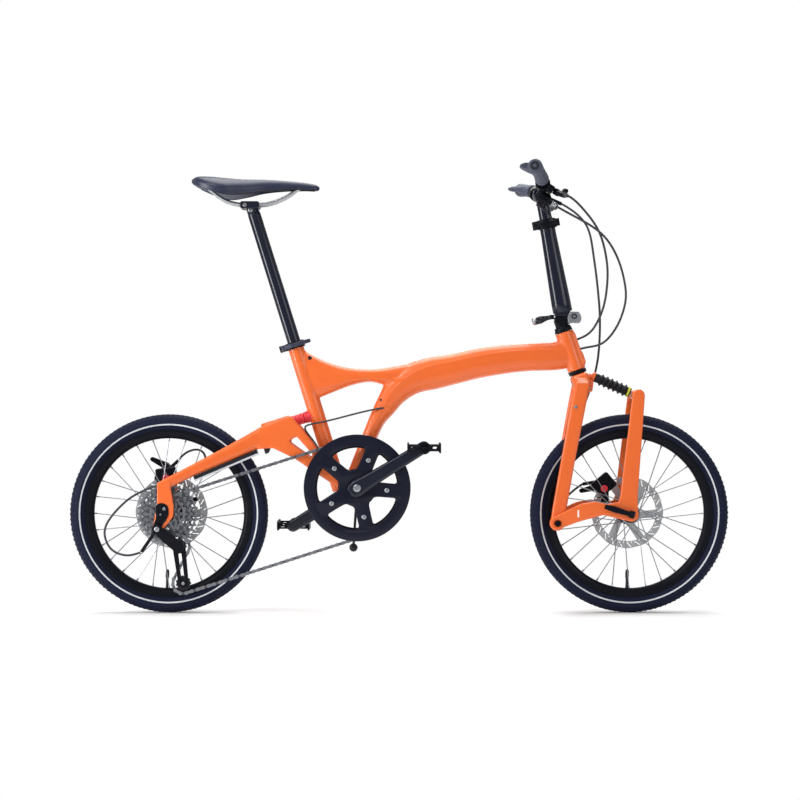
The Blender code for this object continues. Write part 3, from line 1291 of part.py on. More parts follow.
def riser():
    """The sliding inner post with the handlebar clamp on top."""
    low = 110 * MM
    obj = drum("stem_riser", RISER_DIAMETER / 2, low, BAR_ABOVE_HINGE - 6 * MM, HANDLEPOST_FOOT, HANDLEPOST_UP)
    clamp = drum("bar_clamp", BAR_CLAMP_DIAMETER / 2 + 6 * MM, -22 * MM, 22 * MM, BAR_CENTRE)
    union(obj, clamp)
    cut(obj, bar_tube("bar_room", GAP))
    return piece(obj, "stem_riser", BLACK)


def grip(name, side):
    """A rubber grip with a wing that carries the palm."""
    start = BAR_HALF_WIDTH - GRIP_LENGTH + GRIP_INSET
    run, radii = [], []
    for k in range(6):
        point, way = bar_at(side * min(start + (GRIP_LENGTH - 1 * MM) * k / 5, BAR_HALF_WIDTH - 6 * MM))
        if k == 5:
            point = point + way * 8.5 * MM
        run.append(point)
        radii.append(GRIP_DIAMETER / 2 - (1.5 * MM if 0 < k < 4 else 0))
    obj = tube(name, run, GRIP_DIAMETER / 2, 2, radii)
    rings = []
    for part, reach, thick in ((0.42, 18, 9), (0.6, 28, 8), (0.8, 36, 7), (0.97, 34, 6.5)):
        point, way = bar_at(side * (start + (GRIP_LENGTH - 12 * MM) * part))
        ring = []
        for a, b in ((0.6, 1), (-0.5, 0.9), (-1, 0.35), (-1, -0.35), (-0.5, -0.9), (0.6, -1)):
            middle = point + Vector((-reach / 2 * MM, 0, 3 * MM))
            ring.append(middle + Vector((reach / 2 * a * MM, 0, thick * b * MM)))
        rings.append(ring)
    union(obj, loft(name + "_wing", rings))
    cut(obj, bar_tube(name + "_bore", GAP))
    return piece(obj, name, GRIP_GREY)


def lever_pivot(side):
    point, _ = bar_at(side * CONTROL_Y)
    return point + REACH * 34 * MM


def brake_barrel(side):
    """The ends of the barrel through which the brake cable leaves its lever bracket."""
    point, _ = bar_at(side * CONTROL_Y)
    start = point + REACH * 12 * MM - Y_AXIS * side * 14 * MM + LEVER_AXIS * 3 * MM
    return start, start + REACH * 48 * MM - Y_AXIS * side * 4 * MM + LEVER_AXIS * 5 * MM


def leaving(start, mouth):
    """The first points of a cable that comes straight out of a barrel."""
    way = (mouth - start).normalized()
    return [mouth + way * 3 * GAP, mouth + way * 7 * MM, mouth + way * 15 * MM]


def control(name, side):
    """The lever bracket clamped on the bar; the right one also carries the shifter pod."""
    point, way = bar_at(side * CONTROL_Y)
    obj = rod(name, point - way * 10 * MM, point + way * 10 * MM, 16.5 * MM, 14)
    bracket_middle = point + REACH * 19 * MM - Y_AXIS * side * 3 * MM
    bracket = block("bracket", bracket_middle, (14 * MM, 30 * MM, 15 * MM), REACH)
    barrel = rod("barrel", *brake_barrel(side), 4.5 * MM, 8)
    union(obj, bracket, barrel)
    if side < 0:
        pod = block("pod", shifter_centre(), (36 * MM, 34 * MM, 26 * MM), REACH, 7 * MM)
        nose = rod("nose", shifter_centre(), shift_mouth(), 5 * MM, 8)
        union(obj, pod, nose)
    cut(obj, bar_tube(name + "_bore", GAP))
    return piece(obj, name, BLACK)


def shifter_centre():
    point, _ = bar_at(-CONTROL_Y + 21 * MM)
    return point + REACH * 12 * MM - LEVER_AXIS * 20 * MM


def shift_mouth():
    return shifter_centre() + REACH * 36 * MM


def brake_lever(name, side):
    """A cast lever blade on a vertical pivot, curved to the fingers."""
    at = lever_pivot(side)
    obj = rod(name, at - LEVER_AXIS * 6.5 * MM, at + LEVER_AXIS * 6.5 * MM, 7.6 * MM, 12)
    run = [at + Y_AXIS * side * out * MM + REACH * ahead * MM
           for out, ahead in ((2, 1), (16, 13), (34, 19), (62, 16), (92, 12), (116, 15))]
    run = smooth(run, 2)
    radii = [(6 - 1.6 * k / (len(run) - 1)) * MM for k in range(len(run))]
    radii[-1] = 5.2 * MM
    return piece(union(obj, tube(name + "_blade", run, 6 * MM, 1, radii)), name, BLACK)


def shift_lever():
    """The thumb paddle under the shifter pod."""
    at = shift_pivot()
    obj = rod("shift_lever", at - LEVER_AXIS * 4 * MM, at + LEVER_AXIS * 4 * MM, 6 * MM, 12)
    paddle = loft("paddle", [
        [at + REACH * s * MM + Y_AXIS * (aside + wide * a) * MM + LEVER_AXIS * (2.4 * b - drop) * MM
         for a, b in ((1, 1), (-1, 1), (-1, -1), (1, -1))]
        for s, aside, wide, drop in ((0, 0, 4.5, 0), (18, 2, 4.5, 2), (32, 5, 7, 7), (42, 7, 6, 12))
    ])
    return piece(union(obj, paddle), "shift_lever", SATIN)


def shift_pivot():
    return shifter_centre() - LEVER_AXIS * (13 * MM + 4 * MM + GAP)


# Cables

def cable(name, points, diameter=CABLE_DIAMETER):
    return piece(tube(name, smooth(points, 2), diameter / 2, 1), name, SATIN)


def cables():
    """The control cables, bowed out in front of the post, and the short runs at the rear."""
    def at(dx, y, dz):
        return FRONT_AXLE + Vector((dx, y, dz)) * MM

    nose = Vector((HEAD_UP.z, 0, -HEAD_UP.x)) * (HEAD_DIAMETER / 2 + 2 * MM + CABLE_DIAMETER / 4)
    low_port = HEAD_LOW + HEAD_UP * 42 * MM + nose - Y_AXIS * 5 * MM
    high_port = HEAD_LOW + HEAD_UP * 64 * MM + nose + Y_AXIS * 5 * MM
    away = Vector((HEAD_UP.z, 0, -HEAD_UP.x)) * 14 * MM
    cable("rear_brake_cable", [
        *leaving(*brake_barrel(-1)), at(-76, -88, 620), at(-54, -56, 555), at(-50, -30, 505),
        at(-58, -12, 447), at(-82, 0, 398), high_port + away, high_port,
    ])
    cable("shift_cable", [
        *leaving(shifter_centre(), shift_mouth()), at(-68, -72, 612), at(-28, -50, 555), at(-10, -34, 487),
        at(-12, -22, 456), at(-28, -14, 410), at(-60, -8, 370), low_port + away, low_port,
    ])
    cable("front_brake_cable", [
        *leaving(*brake_barrel(1)), at(-84, 92, 640), at(-70, 72, 560), at(-62, 62, 486),
        at(-58, 62, 420), at(-64, 64, 330), at(-88, 68, 250), at(-130, 72, 150), at(-186, 74, 60),
        at(-200, 74, 20), at(-180, 73, -2), at(-150, 68, 16), at(-122, 60, 44), at(-106, 52, 58),
        FRONT_CABLE_STOP + Vector((-2.6, 0.6, -1)) * MM,
    ])
    cable("window_cable", [
        in_side_view(crank(57, 174), -24.3 * MM), in_side_view(crank(44, 172), -24.6 * MM),
        in_side_view(crank(10, 165), -25.4 * MM), in_side_view(crank(-60, 147), -25.3 * MM),
        in_side_view(crank(-98, 139), -24 * MM),
        in_side_view(crank(-117, 134), -22 * MM), in_side_view(crank(-112, 122), -21.5 * MM),
        in_side_view(crank(-92, 96), -22.8 * MM), in_side_view(crank(-78, 70), -24 * MM),
        in_side_view(crank(-66, 44), -24 * MM),
    ], 4 * MM)
    stop = cable_stop()
    dropout = DROPOUT_INNER + DROPOUT_THICKNESS / 2
    cable("rear_shift_cable", [
        in_side_view(rear(-19.5, 62), -dropout), in_side_view(rear(-36, 58), -dropout),
        in_side_view(rear(-86, 30), -dropout - 4 * MM), in_side_view(rear(-131, -26), -dropout - 8 * MM),
        in_side_view(rear(-120, -72), stop.y), in_side_view(rear(-84, -88), stop.y),
        stop + Vector((-4, 0, -2)) * MM,
    ])
    cable("rear_brake_hose", [
        REAR_CABLE_STOP + Vector((1.6, 0, 2.4)) * MM, REAR_CABLE_STOP + Vector((10, 0, 12)) * MM,
        in_side_view(rear(40, 136), 60 * MM), in_side_view(rear(58, 139), 59 * MM),
        in_side_view(rear(71, 132), 57.5 * MM), in_side_view(rear(75, 121.2), 56.8 * MM),
    ])


# Assembly

def carrier(name, place, pieces, parent=None):
    """An empty on a joint's axis that carries the pieces of one moving body."""
    empty = bpy.data.objects.new(name, None)
    PARTS.objects.link(empty)
    empty.location = place
    empty.empty_display_size = 20 * MM
    bpy.context.view_layer.update()
    for obj in pieces:
        obj.parent = empty
        obj.matrix_parent_inverse = empty.matrix_world.inverted()
    if parent:
        empty.parent = parent
        empty.matrix_parent_inverse = parent.matrix_world.inverted()
    return empty


def build():
    main_frame()
    headset("headset_upper", HEAD_TOP, HEAD_UP, HEAD_DIAMETER / 2, HEAD_DIAMETER / 2 - 3 * MM, HEADSET_STACK)
    headset("headset_lower", HEAD_LOW, -HEAD_UP, HEAD_DIAMETER / 2, HEAD_DIAMETER / 2 - 1 * MM, CROWN_RACE - GAP)
    bottom_bracket()
    rest_leg()
    seat_collar()

    seat = [seat_post(), saddle_rails(), saddle()]
    carrier("seat_slide", SEAT_TOP, seat)
    carrier("seat_lever_axis", seat_lever_pivot(), [seat_clamp_lever()])

    foot_face = DROPOUT_INNER - GAP
    rear_foot = REAR_AXLE + Vector((-24 * MM, foot_face - 5 * MM, 72 * MM))
    rear_caliper = caliper("rear_caliper", REAR_AXLE, REAR_ROTOR_Y, REAR_CALIPER_ANGLE, REAR_ARM_PIVOT, rear_foot,
                           (30 * MM, 10 * MM, 16 * MM), REAR_CABLE_STOP)
    spring = carrier("rear_fold_axis", CRANK_AXIS, [rear_elastomer()])
    arm = carrier("rear_arm_axis", CRANK_AXIS, [rear_swingarm(), derailleur(), chain(), rear_caliper], spring)
    rear_lever = caliper_arm("rear_caliper_arm", REAR_ARM_PIVOT, REAR_ARM_TIP - REAR_ARM_PIVOT)
    carrier("rear_caliper_axis", REAR_ARM_PIVOT, [rear_lever], arm)
    rear_face = DROPOUT_INNER + DROPOUT_THICKNESS
    release_at = release_pivot(REAR_AXLE, 1, rear_face)
    rear_release = quick_release("rear_qr_lever", release_at, 1, radians(28))
    carrier("rear_release_axis", release_at, [rear_release], arm)
    carrier("rear_wheel_axis", REAR_AXLE, [
        tyre("rear_tyre", REAR_AXLE), rim("rear_rim", REAR_AXLE, REAR_FLANGES),
        rotor("rear_rotor", REAR_AXLE, REAR_ROTOR_Y),
        hub("rear_hub", REAR_AXLE, REAR_HUB_WIDTH, REAR_ROTOR_Y, *REAR_FLANGES,
            DROPOUT_THICKNESS, CASSETTE_BORE / 2 - GAP),
    ], arm)
    carrier("cassette_axis", REAR_AXLE, [cassette()], arm)
    carrier("guide_pulley_axis", GUIDE_PULLEY, [pulley("upper_pulley", GUIDE_PULLEY)], arm)
    carrier("tension_pulley_axis", TENSION_PULLEY, [pulley("lower_pulley", TENSION_PULLEY)], arm)

    cranks = carrier("crank_axis", CRANK_AXIS, [chainring(), chain_guard(), right_crank(), left_crank()])
    right_face = -guard_plane() + GUARD_THICKNESS + 15 * MM
    left_face = left_crank_face() + 14 * MM
    carrier("right_pedal_axis", RIGHT_PEDAL, [pedal("right_pedal", RIGHT_PEDAL, -1, right_face)], cranks)
    carrier("left_pedal_axis", LEFT_PEDAL, [pedal("left_pedal", LEFT_PEDAL, 1, left_face)], cranks)

    steering = carrier("steering_axis", HEAD_LOW, [fork(), steerer()])
    bellows = carrier("front_fold_axis", FORK_PIVOT, [front_bellows()], steering)
    front_foot = FRONT_AXLE + Vector((-53 * MM, FRONT_ARM_INNER - GAP - 3 * MM, 36 * MM))
    front_caliper = caliper("front_caliper", FRONT_AXLE, FRONT_ROTOR_Y, FRONT_CALIPER_ANGLE, FRONT_ARM_PIVOT,
                            front_foot, (26 * MM, 6 * MM, 48 * MM), FRONT_CABLE_STOP)
    front_arm = carrier("front_arm_axis", FORK_PIVOT, [front_swingarm(), front_caliper], bellows)
    front_lever = caliper_arm("front_caliper_arm", FRONT_ARM_PIVOT, FRONT_ARM_TIP - FRONT_ARM_PIVOT)
    carrier("front_caliper_axis", FRONT_ARM_PIVOT, [front_lever], front_arm)
    release_at = release_pivot(FRONT_AXLE, -1, FRONT_ARM_OUTER)
    front_release = quick_release("front_qr_lever", release_at, -1, radians(163))
    carrier("front_release_axis", release_at, [front_release], front_arm)
    carrier("front_wheel_axis", FRONT_AXLE, [
        tyre("front_tyre", FRONT_AXLE), rim("front_rim", FRONT_AXLE, FRONT_FLANGES),
        rotor("front_rotor", FRONT_AXLE, FRONT_ROTOR_Y),
        hub("front_hub", FRONT_AXLE, FRONT_HUB_WIDTH, FRONT_ROTOR_Y, *FRONT_FLANGES,
            FRONT_ARM_THICKNESS),
    ], front_arm)

    post = carrier("handlepost_axis", HINGE_PIN, [handlepost(), post_collar()], steering)
    carrier("latch_axis", latch_pivot(), [post_latch_lever()], post)
    back = Vector((-HANDLEPOST_UP.z, 0, HANDLEPOST_UP.x))
    collar_lever = side_lever("collar_lever", collar_lever_pivot(), HANDLEPOST_UP, -back, 46 * MM, BLACK)
    carrier("collar_lever_axis", collar_lever_pivot(), [collar_lever], post)
    bar = piece(bar_tube("handlebar", 0), "handlebar", BLACK)
    cockpit = carrier("riser_slide", HANDLEPOST_FOOT, [
        riser(), bar, grip("right_grip", -1), grip("left_grip", 1),
        control("right_control", -1), control("left_control", 1),
    ], post)
    for side, name in ((-1, "right_brake_lever"), (1, "left_brake_lever")):
        carrier(name + "_axis", lever_pivot(side), [brake_lever(name, side)], cockpit)
    carrier("shift_lever_axis", shift_pivot(), [shift_lever()], cockpit)
    cables()


build()
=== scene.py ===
# %% [markdown]
# # A folding bicycle, dressed over its CAD model
#
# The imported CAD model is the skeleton: it fixes every size, axis and joint. This lesson gives it its
# looks. Each step first says what the piece is on a real bicycle, then how it is modelled, and why in
# that way.

from math import acos, atan2, cos, pi, radians, sin, tau

import bpy
from mathutils import Matrix, Vector


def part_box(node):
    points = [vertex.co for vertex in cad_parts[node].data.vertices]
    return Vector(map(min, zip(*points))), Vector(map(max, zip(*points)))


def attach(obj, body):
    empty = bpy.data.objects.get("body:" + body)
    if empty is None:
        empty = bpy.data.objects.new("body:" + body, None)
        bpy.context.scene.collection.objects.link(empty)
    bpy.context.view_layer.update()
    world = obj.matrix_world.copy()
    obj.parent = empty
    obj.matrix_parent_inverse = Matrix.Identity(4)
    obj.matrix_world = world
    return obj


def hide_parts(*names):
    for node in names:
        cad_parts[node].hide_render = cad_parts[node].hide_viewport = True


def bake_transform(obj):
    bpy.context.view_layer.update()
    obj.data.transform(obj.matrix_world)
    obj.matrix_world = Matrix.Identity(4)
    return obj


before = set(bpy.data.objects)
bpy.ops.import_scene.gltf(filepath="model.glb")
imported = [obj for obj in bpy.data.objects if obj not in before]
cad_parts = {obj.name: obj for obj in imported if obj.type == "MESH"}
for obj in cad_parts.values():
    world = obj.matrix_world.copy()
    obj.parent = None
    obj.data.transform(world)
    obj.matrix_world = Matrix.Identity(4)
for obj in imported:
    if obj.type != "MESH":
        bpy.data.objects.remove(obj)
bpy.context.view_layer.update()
MM = 0.001
UP = Vector((0, 0, 1))
LEFT = Vector((0, 1, 0))
# A distance from the middle plane that is well outside the bicycle.
OUTSIDE = 300 * MM

# %% [markdown]
# ## The camera and the light
#
# The photograph looks straight at the right side from about five metres and from knee height. A tyre of
# 435 mm covers 198 pixels there, so the picture is 1.76 m wide in the wheels' plane. A pale floor, a soft
# key from the upper left, a fill from the right, a broad light overhead and one behind stand in for the
# studio. An upright strip on the left draws the bright lines on the posts.

# %% Camera
PIXEL = 2.2 * MM
MIDDLE_ROW, FLOOR_ROW = 400, 612
CAMERA_DISTANCE, CAMERA_SHIFT = 5.0, 2 * MM
camera_height = (FLOOR_ROW - MIDDLE_ROW) * PIXEL
bpy.ops.object.camera_add(location=(CAMERA_SHIFT, -CAMERA_DISTANCE, camera_height), rotation=(pi / 2, 0, 0))
camera = bpy.context.active_object
camera.data.angle = 2 * atan2(MIDDLE_ROW * PIXEL, CAMERA_DISTANCE)
bpy.context.scene.camera = camera
bpy.context.scene.view_settings.view_transform = "Standard"


# %% Node and colour helpers
def linear(code):
    """An sRGB hex colour as linear RGBA."""
    parts = [int(code[i:i + 2], 16) / 255 for i in (1, 3, 5)]
    return (*[c / 12.92 if c <= 0.04045 else ((c + 0.055) / 1.055) ** 2.4 for c in parts], 1)


def add(tree, kind, inputs=None, **settings):
    """Add a node, set its properties, and fill or link its inputs."""
    made = tree.nodes.new("ShaderNode" + kind)
    for name, value in settings.items():
        setattr(made, name, value)
    for socket, value in (inputs or {}).items():
        if isinstance(value, bpy.types.NodeSocket):
            tree.links.new(value, made.inputs[socket])
        else:
            made.inputs[socket].default_value = value
    return made


def start_material(name, **sockets):
    """A new Principled material with plain values on its own sockets."""
    made = bpy.data.materials.new(name)
    made.use_nodes = True
    shader = made.node_tree.nodes["Principled BSDF"]
    for socket, value in sockets.items():
        shader.inputs[socket.replace("_", " ")].default_value = value
    return made, made.node_tree, shader


# %% Floor, backdrop and lamps
def deselect():
    if bpy.context.mode != "OBJECT":
        bpy.ops.object.mode_set(mode="OBJECT")
    bpy.ops.object.select_all(action="DESELECT")


# The floor takes shadows near the wheels and fades to plain white between two distances in metres.
FLOOR_SIZE, FLOOR_DROP = 40, 0.5 * MM
FADE_START, FADE_END, FADE_SHAPE = 0.35, 0.85, (0.6, 1, 0)
# The camera sees white air, a gloss sees a share of it, and everything else a dim level.
GLOSS_SHARE, AIR_LEVEL = 0.3, 0.2
deselect()
bpy.ops.mesh.primitive_plane_add(size=FLOOR_SIZE, location=(0, 0, -FLOOR_DROP))
floor = bpy.context.active_object
floor.name = "studio_floor"
paper, tree, shader = start_material("matt_white_paper", Roughness=0.9)
shader.inputs["Base Color"].default_value = linear("#f6f6f6")
path = add(tree, "LightPath")
white = add(tree, "Emission", {"Color": (1, 1, 1, 1), "Strength": 1.0})
where = add(tree, "TexCoord")
flat = add(tree, "VectorMath", {0: where.outputs["Object"], 1: FADE_SHAPE}, operation="MULTIPLY")
far = add(tree, "VectorMath", {0: flat.outputs["Vector"]}, operation="LENGTH")
fade = add(tree, "MapRange", {"Value": far.outputs["Value"], "From Min": FADE_START, "From Max": FADE_END},
           interpolation_type="SMOOTHSTEP")
seen = add(tree, "Math", {0: fade.outputs[0], 1: path.outputs["Is Camera Ray"]}, operation="MULTIPLY")
choice = add(tree, "MixShader", {"Fac": seen.outputs[0], 1: shader.outputs[0], 2: white.outputs[0]})
tree.links.new(choice.outputs[0], tree.nodes["Material Output"].inputs["Surface"])
floor.data.materials.append(paper)

world = bpy.data.worlds.new("studio_air")
world.use_nodes = True
bpy.context.scene.world = world
tree = world.node_tree
rays = add(tree, "LightPath")
seen = add(tree, "Math", {0: rays.outputs["Is Camera Ray"], 1: rays.outputs["Is Transmission Ray"]},
           operation="MAXIMUM")
softer = add(tree, "Math", {0: rays.outputs["Is Glossy Ray"], 1: GLOSS_SHARE}, operation="MULTIPLY")
mirrored = add(tree, "Math", {0: seen.outputs[0], 1: softer.outputs[0]}, operation="MAXIMUM")
level = add(tree, "MapRange", {"Value": mirrored.outputs[0], "To Min": AIR_LEVEL, "To Max": 1.0})
tree.links.new(level.outputs[0], tree.nodes["Background"].inputs["Strength"])
tree.nodes["Background"].inputs["Color"].default_value = (1, 1, 1, 1)

for name, place, aim, size, power in (
    ("key", (-2.2, -3.2, 3.0), (0, 0, 0.45), (1.6, 1.6), 61),
    ("fill", (2.8, -2.6, 1.6), (0.1, 0, 0.45), (1.8, 1.8), 27),
    ("overhead", (0, 0.3, 3.2), (0, 0, 0.4), (2.6, 2.6), 112),
    ("back", (0.5, 2.8, 2.2), (0, 0, 0.5), (1.8, 1.8), 32),
    ("strip", (-2.4, -1.0, 0.55), (0, 0, 0.55), (0.6, 1.5), 42),
):
    bpy.ops.object.light_add(type="AREA", location=place)
    lamp = bpy.context.active_object
    lamp.name = name + "_light"
    lamp.data.shape = "RECTANGLE"
    lamp.data.size, lamp.data.size_y = size
    lamp.data.energy = power
    lamp.rotation_euler = (Vector(place) - Vector(aim)).to_track_quat("Z", "Y").to_euler()

# %% [markdown]
# ## The finishes
#
# A finish is named for what it really is and how it was made, and its pattern has a size in millimetres.
# Patterns read Object coordinates, so that they stay on a piece when it moves.


# %% Painted, anodised and bare metal
# Tones drift over this length, and the roughness drifts with them between these shares of its value.
DRIFT_SIZE = 60 * MM
WEAR = (0.85, 1.2)


def surface(name, colour, second, grain_mm, bump_mm, **sockets):
    """A finish whose colour drifts between two tones and whose surface has a fine grain."""
    made, tree, shader = start_material(name, **sockets)
    where = add(tree, "TexCoord").outputs["Object"]
    drift = add(tree, "TexNoise", {"Vector": where, "Scale": 1 / DRIFT_SIZE, "Detail": 3.0}).outputs["Fac"]
    tone = add(tree, "Mix", {"Factor": drift, 6: linear(colour), 7: linear(second)}, data_type="RGBA")
    tree.links.new(tone.outputs[2], shader.inputs["Base Color"])
    grain = add(tree, "TexNoise", {"Vector": where, "Scale": 1 / (grain_mm * MM), "Detail": 4.0})
    bump = add(tree, "Bump", {"Height": grain.outputs["Fac"], "Distance": bump_mm * MM, "Strength": 0.6})
    tree.links.new(bump.outputs[0], shader.inputs["Normal"])
    least, most = (sockets["Roughness"] * share for share in WEAR)
    wear = add(tree, "MapRange", {"Value": drift, "To Min": least, "To Max": most})
    tree.links.new(wear.outputs[0], shader.inputs["Roughness"])
    return made


# Orange powder coat under clear lacquer: even colour, soft orange-peel of about 2 mm, a sharp gloss.
orange_paint = surface("powder_coat_orange", "#e6661c", "#de5e16", 2.5, 0.01, Roughness=0.38,
                       Specular_IOR_Level=0.5, Coat_Weight=0.35, Coat_Roughness=0.06)
# Black anodising on blasted aluminium: dark, dull sparkle, fine grit of about 0.6 mm.
black_alloy = surface("anodised_aluminium_black", "#0a0b12", "#10121a", 0.6, 0.02, Roughness=0.38,
                      Metallic=0.3, Specular_IOR_Level=0.14)
# Black stove enamel on the posts, the bar and the cranks: deep and glossy.
black_gloss = surface("stove_enamel_black", "#080d1e", "#0b1125", 3.0, 0.004, Roughness=0.2,
                      Specular_IOR_Level=0.4)
# Moulded glass-filled nylon: a dull black with a moulded grain of about 0.8 mm.
moulded_nylon = surface("moulded_nylon_black", "#0e0f15", "#14161e", 0.8, 0.05, Roughness=0.5,
                        Specular_IOR_Level=0.3)
# Stainless steel drawn to wire or rolled to sheet.
stainless = surface("stainless_steel_bright", "#aeb0b4", "#9da0a4", 0.7, 0.01, Roughness=0.24, Metallic=1.0)
# Nickel-plated spring steel of the sprockets and chain: greyer and a little oily.
plated_steel = surface("nickel_plated_steel", "#85878d", "#75777d", 1.2, 0.02, Roughness=0.32, Metallic=1.0)
# Darker steel of the inner links of the chain. On every second sprocket it is painted shade, for the shadow
# that falls between the sprockets.
dark_steel_and_painted_shade = surface("darker_steel_and_painted_shade", "#5f6168", "#52545b", 1.2, 0.02, Roughness=0.36, Metallic=1.0)
# Ground steel of the brake track, with a coarser grinding mark than the real one so that it shows.
ground_steel = surface("ground_steel_track", "#a6a7aa", "#b6b7b9", 1.5, 0.03, Roughness=0.34, Metallic=1.0)
# Polyurethane elastomer, cast and slightly waxy.
red_urethane = surface("cast_polyurethane_red", "#e8323f", "#d92836", 1.5, 0.03, Roughness=0.38,
                       Subsurface_Weight=0.1)
# Natural-rubber tread compound, matt with a bloom of grey.
tyre_rubber = surface("tyre_rubber_black", "#0d1226", "#121830", 1.4, 0.12, Roughness=0.72,
                      Specular_IOR_Level=0.18)
# Retro-reflective tape in the sidewall.
reflective_band = surface("reflective_tape_silver", "#cfd2d6", "#bcc0c6", 0.9, 0.03, Roughness=0.45)
# Soft grip rubber, grey, with a moulded pebble.
grip_rubber = surface("grip_rubber_grey", "#363b4c", "#424759", 1.6, 0.25, Roughness=0.62)
# Cable housing: extruded black vinyl.
cable_vinyl = surface("extruded_vinyl_black", "#2a2c33", "#31343c", 1.0, 0.02, Roughness=0.42,
                      Specular_IOR_Level=0.35)
# Bellows: dip-moulded rubber.
bellows_rubber = surface("dipped_rubber_black", "#0c0d14", "#12141c", 1.2, 0.05, Roughness=0.5,
                         Specular_IOR_Level=0.3)
# Satin silver forging for bolts and small fittings.
silver_forging = surface("satin_forged_aluminium", "#a3a6ab", "#94989e", 0.8, 0.02, Roughness=0.32,
                         Metallic=1.0)
# Drawn spoke wire: stainless, with a dull drawing skin.
drawn_wire = surface("drawn_steel_wire", "#8b8e94", "#7d8086", 2.0, 0.01, Roughness=0.4, Metallic=0.9)
# Saddle cover: blue-black coated fabric, with the fine pebble of an embossed skin.
saddle_cover = surface("embossed_coated_fabric_blue_black", "#141a33", "#1b223e", 1.1, 0.14, Roughness=0.4,
                       Specular_IOR_Level=0.5)
# Chain guard: injection-moulded polycarbonate with a gloss from a polished mould.
gloss_polycarbonate = surface("moulded_polycarbonate_black", "#0f1120", "#141728", 2.2, 0.006,
                              Roughness=0.24, Specular_IOR_Level=0.2)
# Seat lever and derailleur cover: anodised to a blue grey.
grey_alloy = surface("anodised_aluminium_grey", "#2c3040", "#363b4c", 0.6, 0.02, Roughness=0.4,
                     Metallic=0.4)
# Spring ring: dyed nylon.
lime_nylon = surface("dyed_nylon_lime", "#cdd63c", "#c0c92e", 0.9, 0.03, Roughness=0.45)
# Marking tape: white vinyl.
white_vinyl = surface("marking_vinyl_white", "#f3f1ec", "#e8e5de", 1.5, 0.01, Roughness=0.4)


# %% [markdown]
# ## Modelling helpers
#
# Most pieces of a bicycle are turned, cut from plate or bent from tube, so three helpers do most of the
# work. A turned piece starts as a circle that is extruded ring by ring. A plate is a flat outline with
# holes, given a thickness and a rounded edge. A tube follows a line of points.
#
# Places are in metres, as in the CAD model. Sizes such as a radius, a thickness or a profile are in
# millimetres.

# %% Helpers for pieces
def only(obj):
    deselect()
    obj.select_set(True)
    bpy.context.view_layer.objects.active = obj


def settle(obj):
    """Put the object's place, turn and scale into its mesh."""
    only(obj)
    bpy.ops.object.transform_apply(location=True, rotation=True, scale=True)
    return obj


def modify(obj, kind, **settings):
    """Add a modifier and apply it."""
    only(obj)
    made = obj.modifiers.new(kind, kind)
    for name, value in settings.items():
        setattr(made, name, value)
    bpy.ops.object.modifier_apply(modifier=made.name)
    return obj


def in_edit(obj, *steps):
    """Run mesh operators, each with its settings, on all of a piece."""
    only(obj)
    bpy.ops.object.mode_set(mode="EDIT")
    bpy.ops.mesh.select_all(action="SELECT")
    for operator, settings in steps:
        operator(**settings)
    bpy.ops.object.mode_set(mode="OBJECT")
    return obj


def tidy_mesh(obj, merge=0.01 * MM):
    """Merge doubles and turn the faces outwards."""
    return in_edit(obj, (bpy.ops.mesh.remove_doubles, {"threshold": merge}),
                   (bpy.ops.mesh.normals_make_consistent, {"inside": False}))


def drop_slivers(obj):
    """Take out the needle-thin faces that a cut leaves along its rim."""
    return in_edit(obj, (bpy.ops.mesh.dissolve_degenerate, {"threshold": 0.05 * MM}),
                   (bpy.ops.mesh.vert_connect_concave, {}))


def dress(obj, name, material, angle):
    """Name a finished piece and give it its finish."""
    obj.name = name
    obj.data.name = name
    obj.data.materials.clear()
    obj.data.materials.append(material)
    only(obj)
    bpy.ops.object.shade_smooth_by_angle(angle=radians(angle))


def claim(obj, nodes):
    """Hide the CAD nodes that a piece stands for."""
    if nodes:
        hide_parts(*nodes)
    return obj


def hand_over(obj, name, material, body, *nodes, angle=40, slot=None):
    """Finish a piece and hang it on its CAD body."""
    dress(obj, name, material, angle)
    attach(obj, body)
    return claim(obj, nodes)


def between(obj, name, material, bodies, start, end, *nodes, slot=None):
    """Finish a soft piece and put its place into its mesh; it hangs on no body."""
    dress(obj, name, material, 60)
    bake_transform(obj)
    return claim(obj, nodes)


def new_object(name, data):
    """Put a mesh or a curve into the scene."""
    obj = bpy.data.objects.new(name, data)
    bpy.context.collection.objects.link(obj)
    return obj


def mesh_object(name, verts, faces):
    mesh = bpy.data.meshes.new(name)
    mesh.from_pydata(verts, [], faces)
    return new_object(name, mesh)


def join(first, *others):
    only(first)
    for other in others:
        other.select_set(True)
    bpy.ops.object.join()
    return first


def repeat(obj, count, place):
    """Copies of a piece turned round a wheel's axis, joined into one."""
    copies = []
    for k in range(1, count):
        copy = new_object(obj.name, obj.data.copy())
        turn = Matrix.Rotation(tau * k / count, 4, LEFT)
        copy.data.transform(Matrix.Translation(place) @ turn @ Matrix.Translation(-place))
        copies.append(copy)
    return join(obj, *copies)


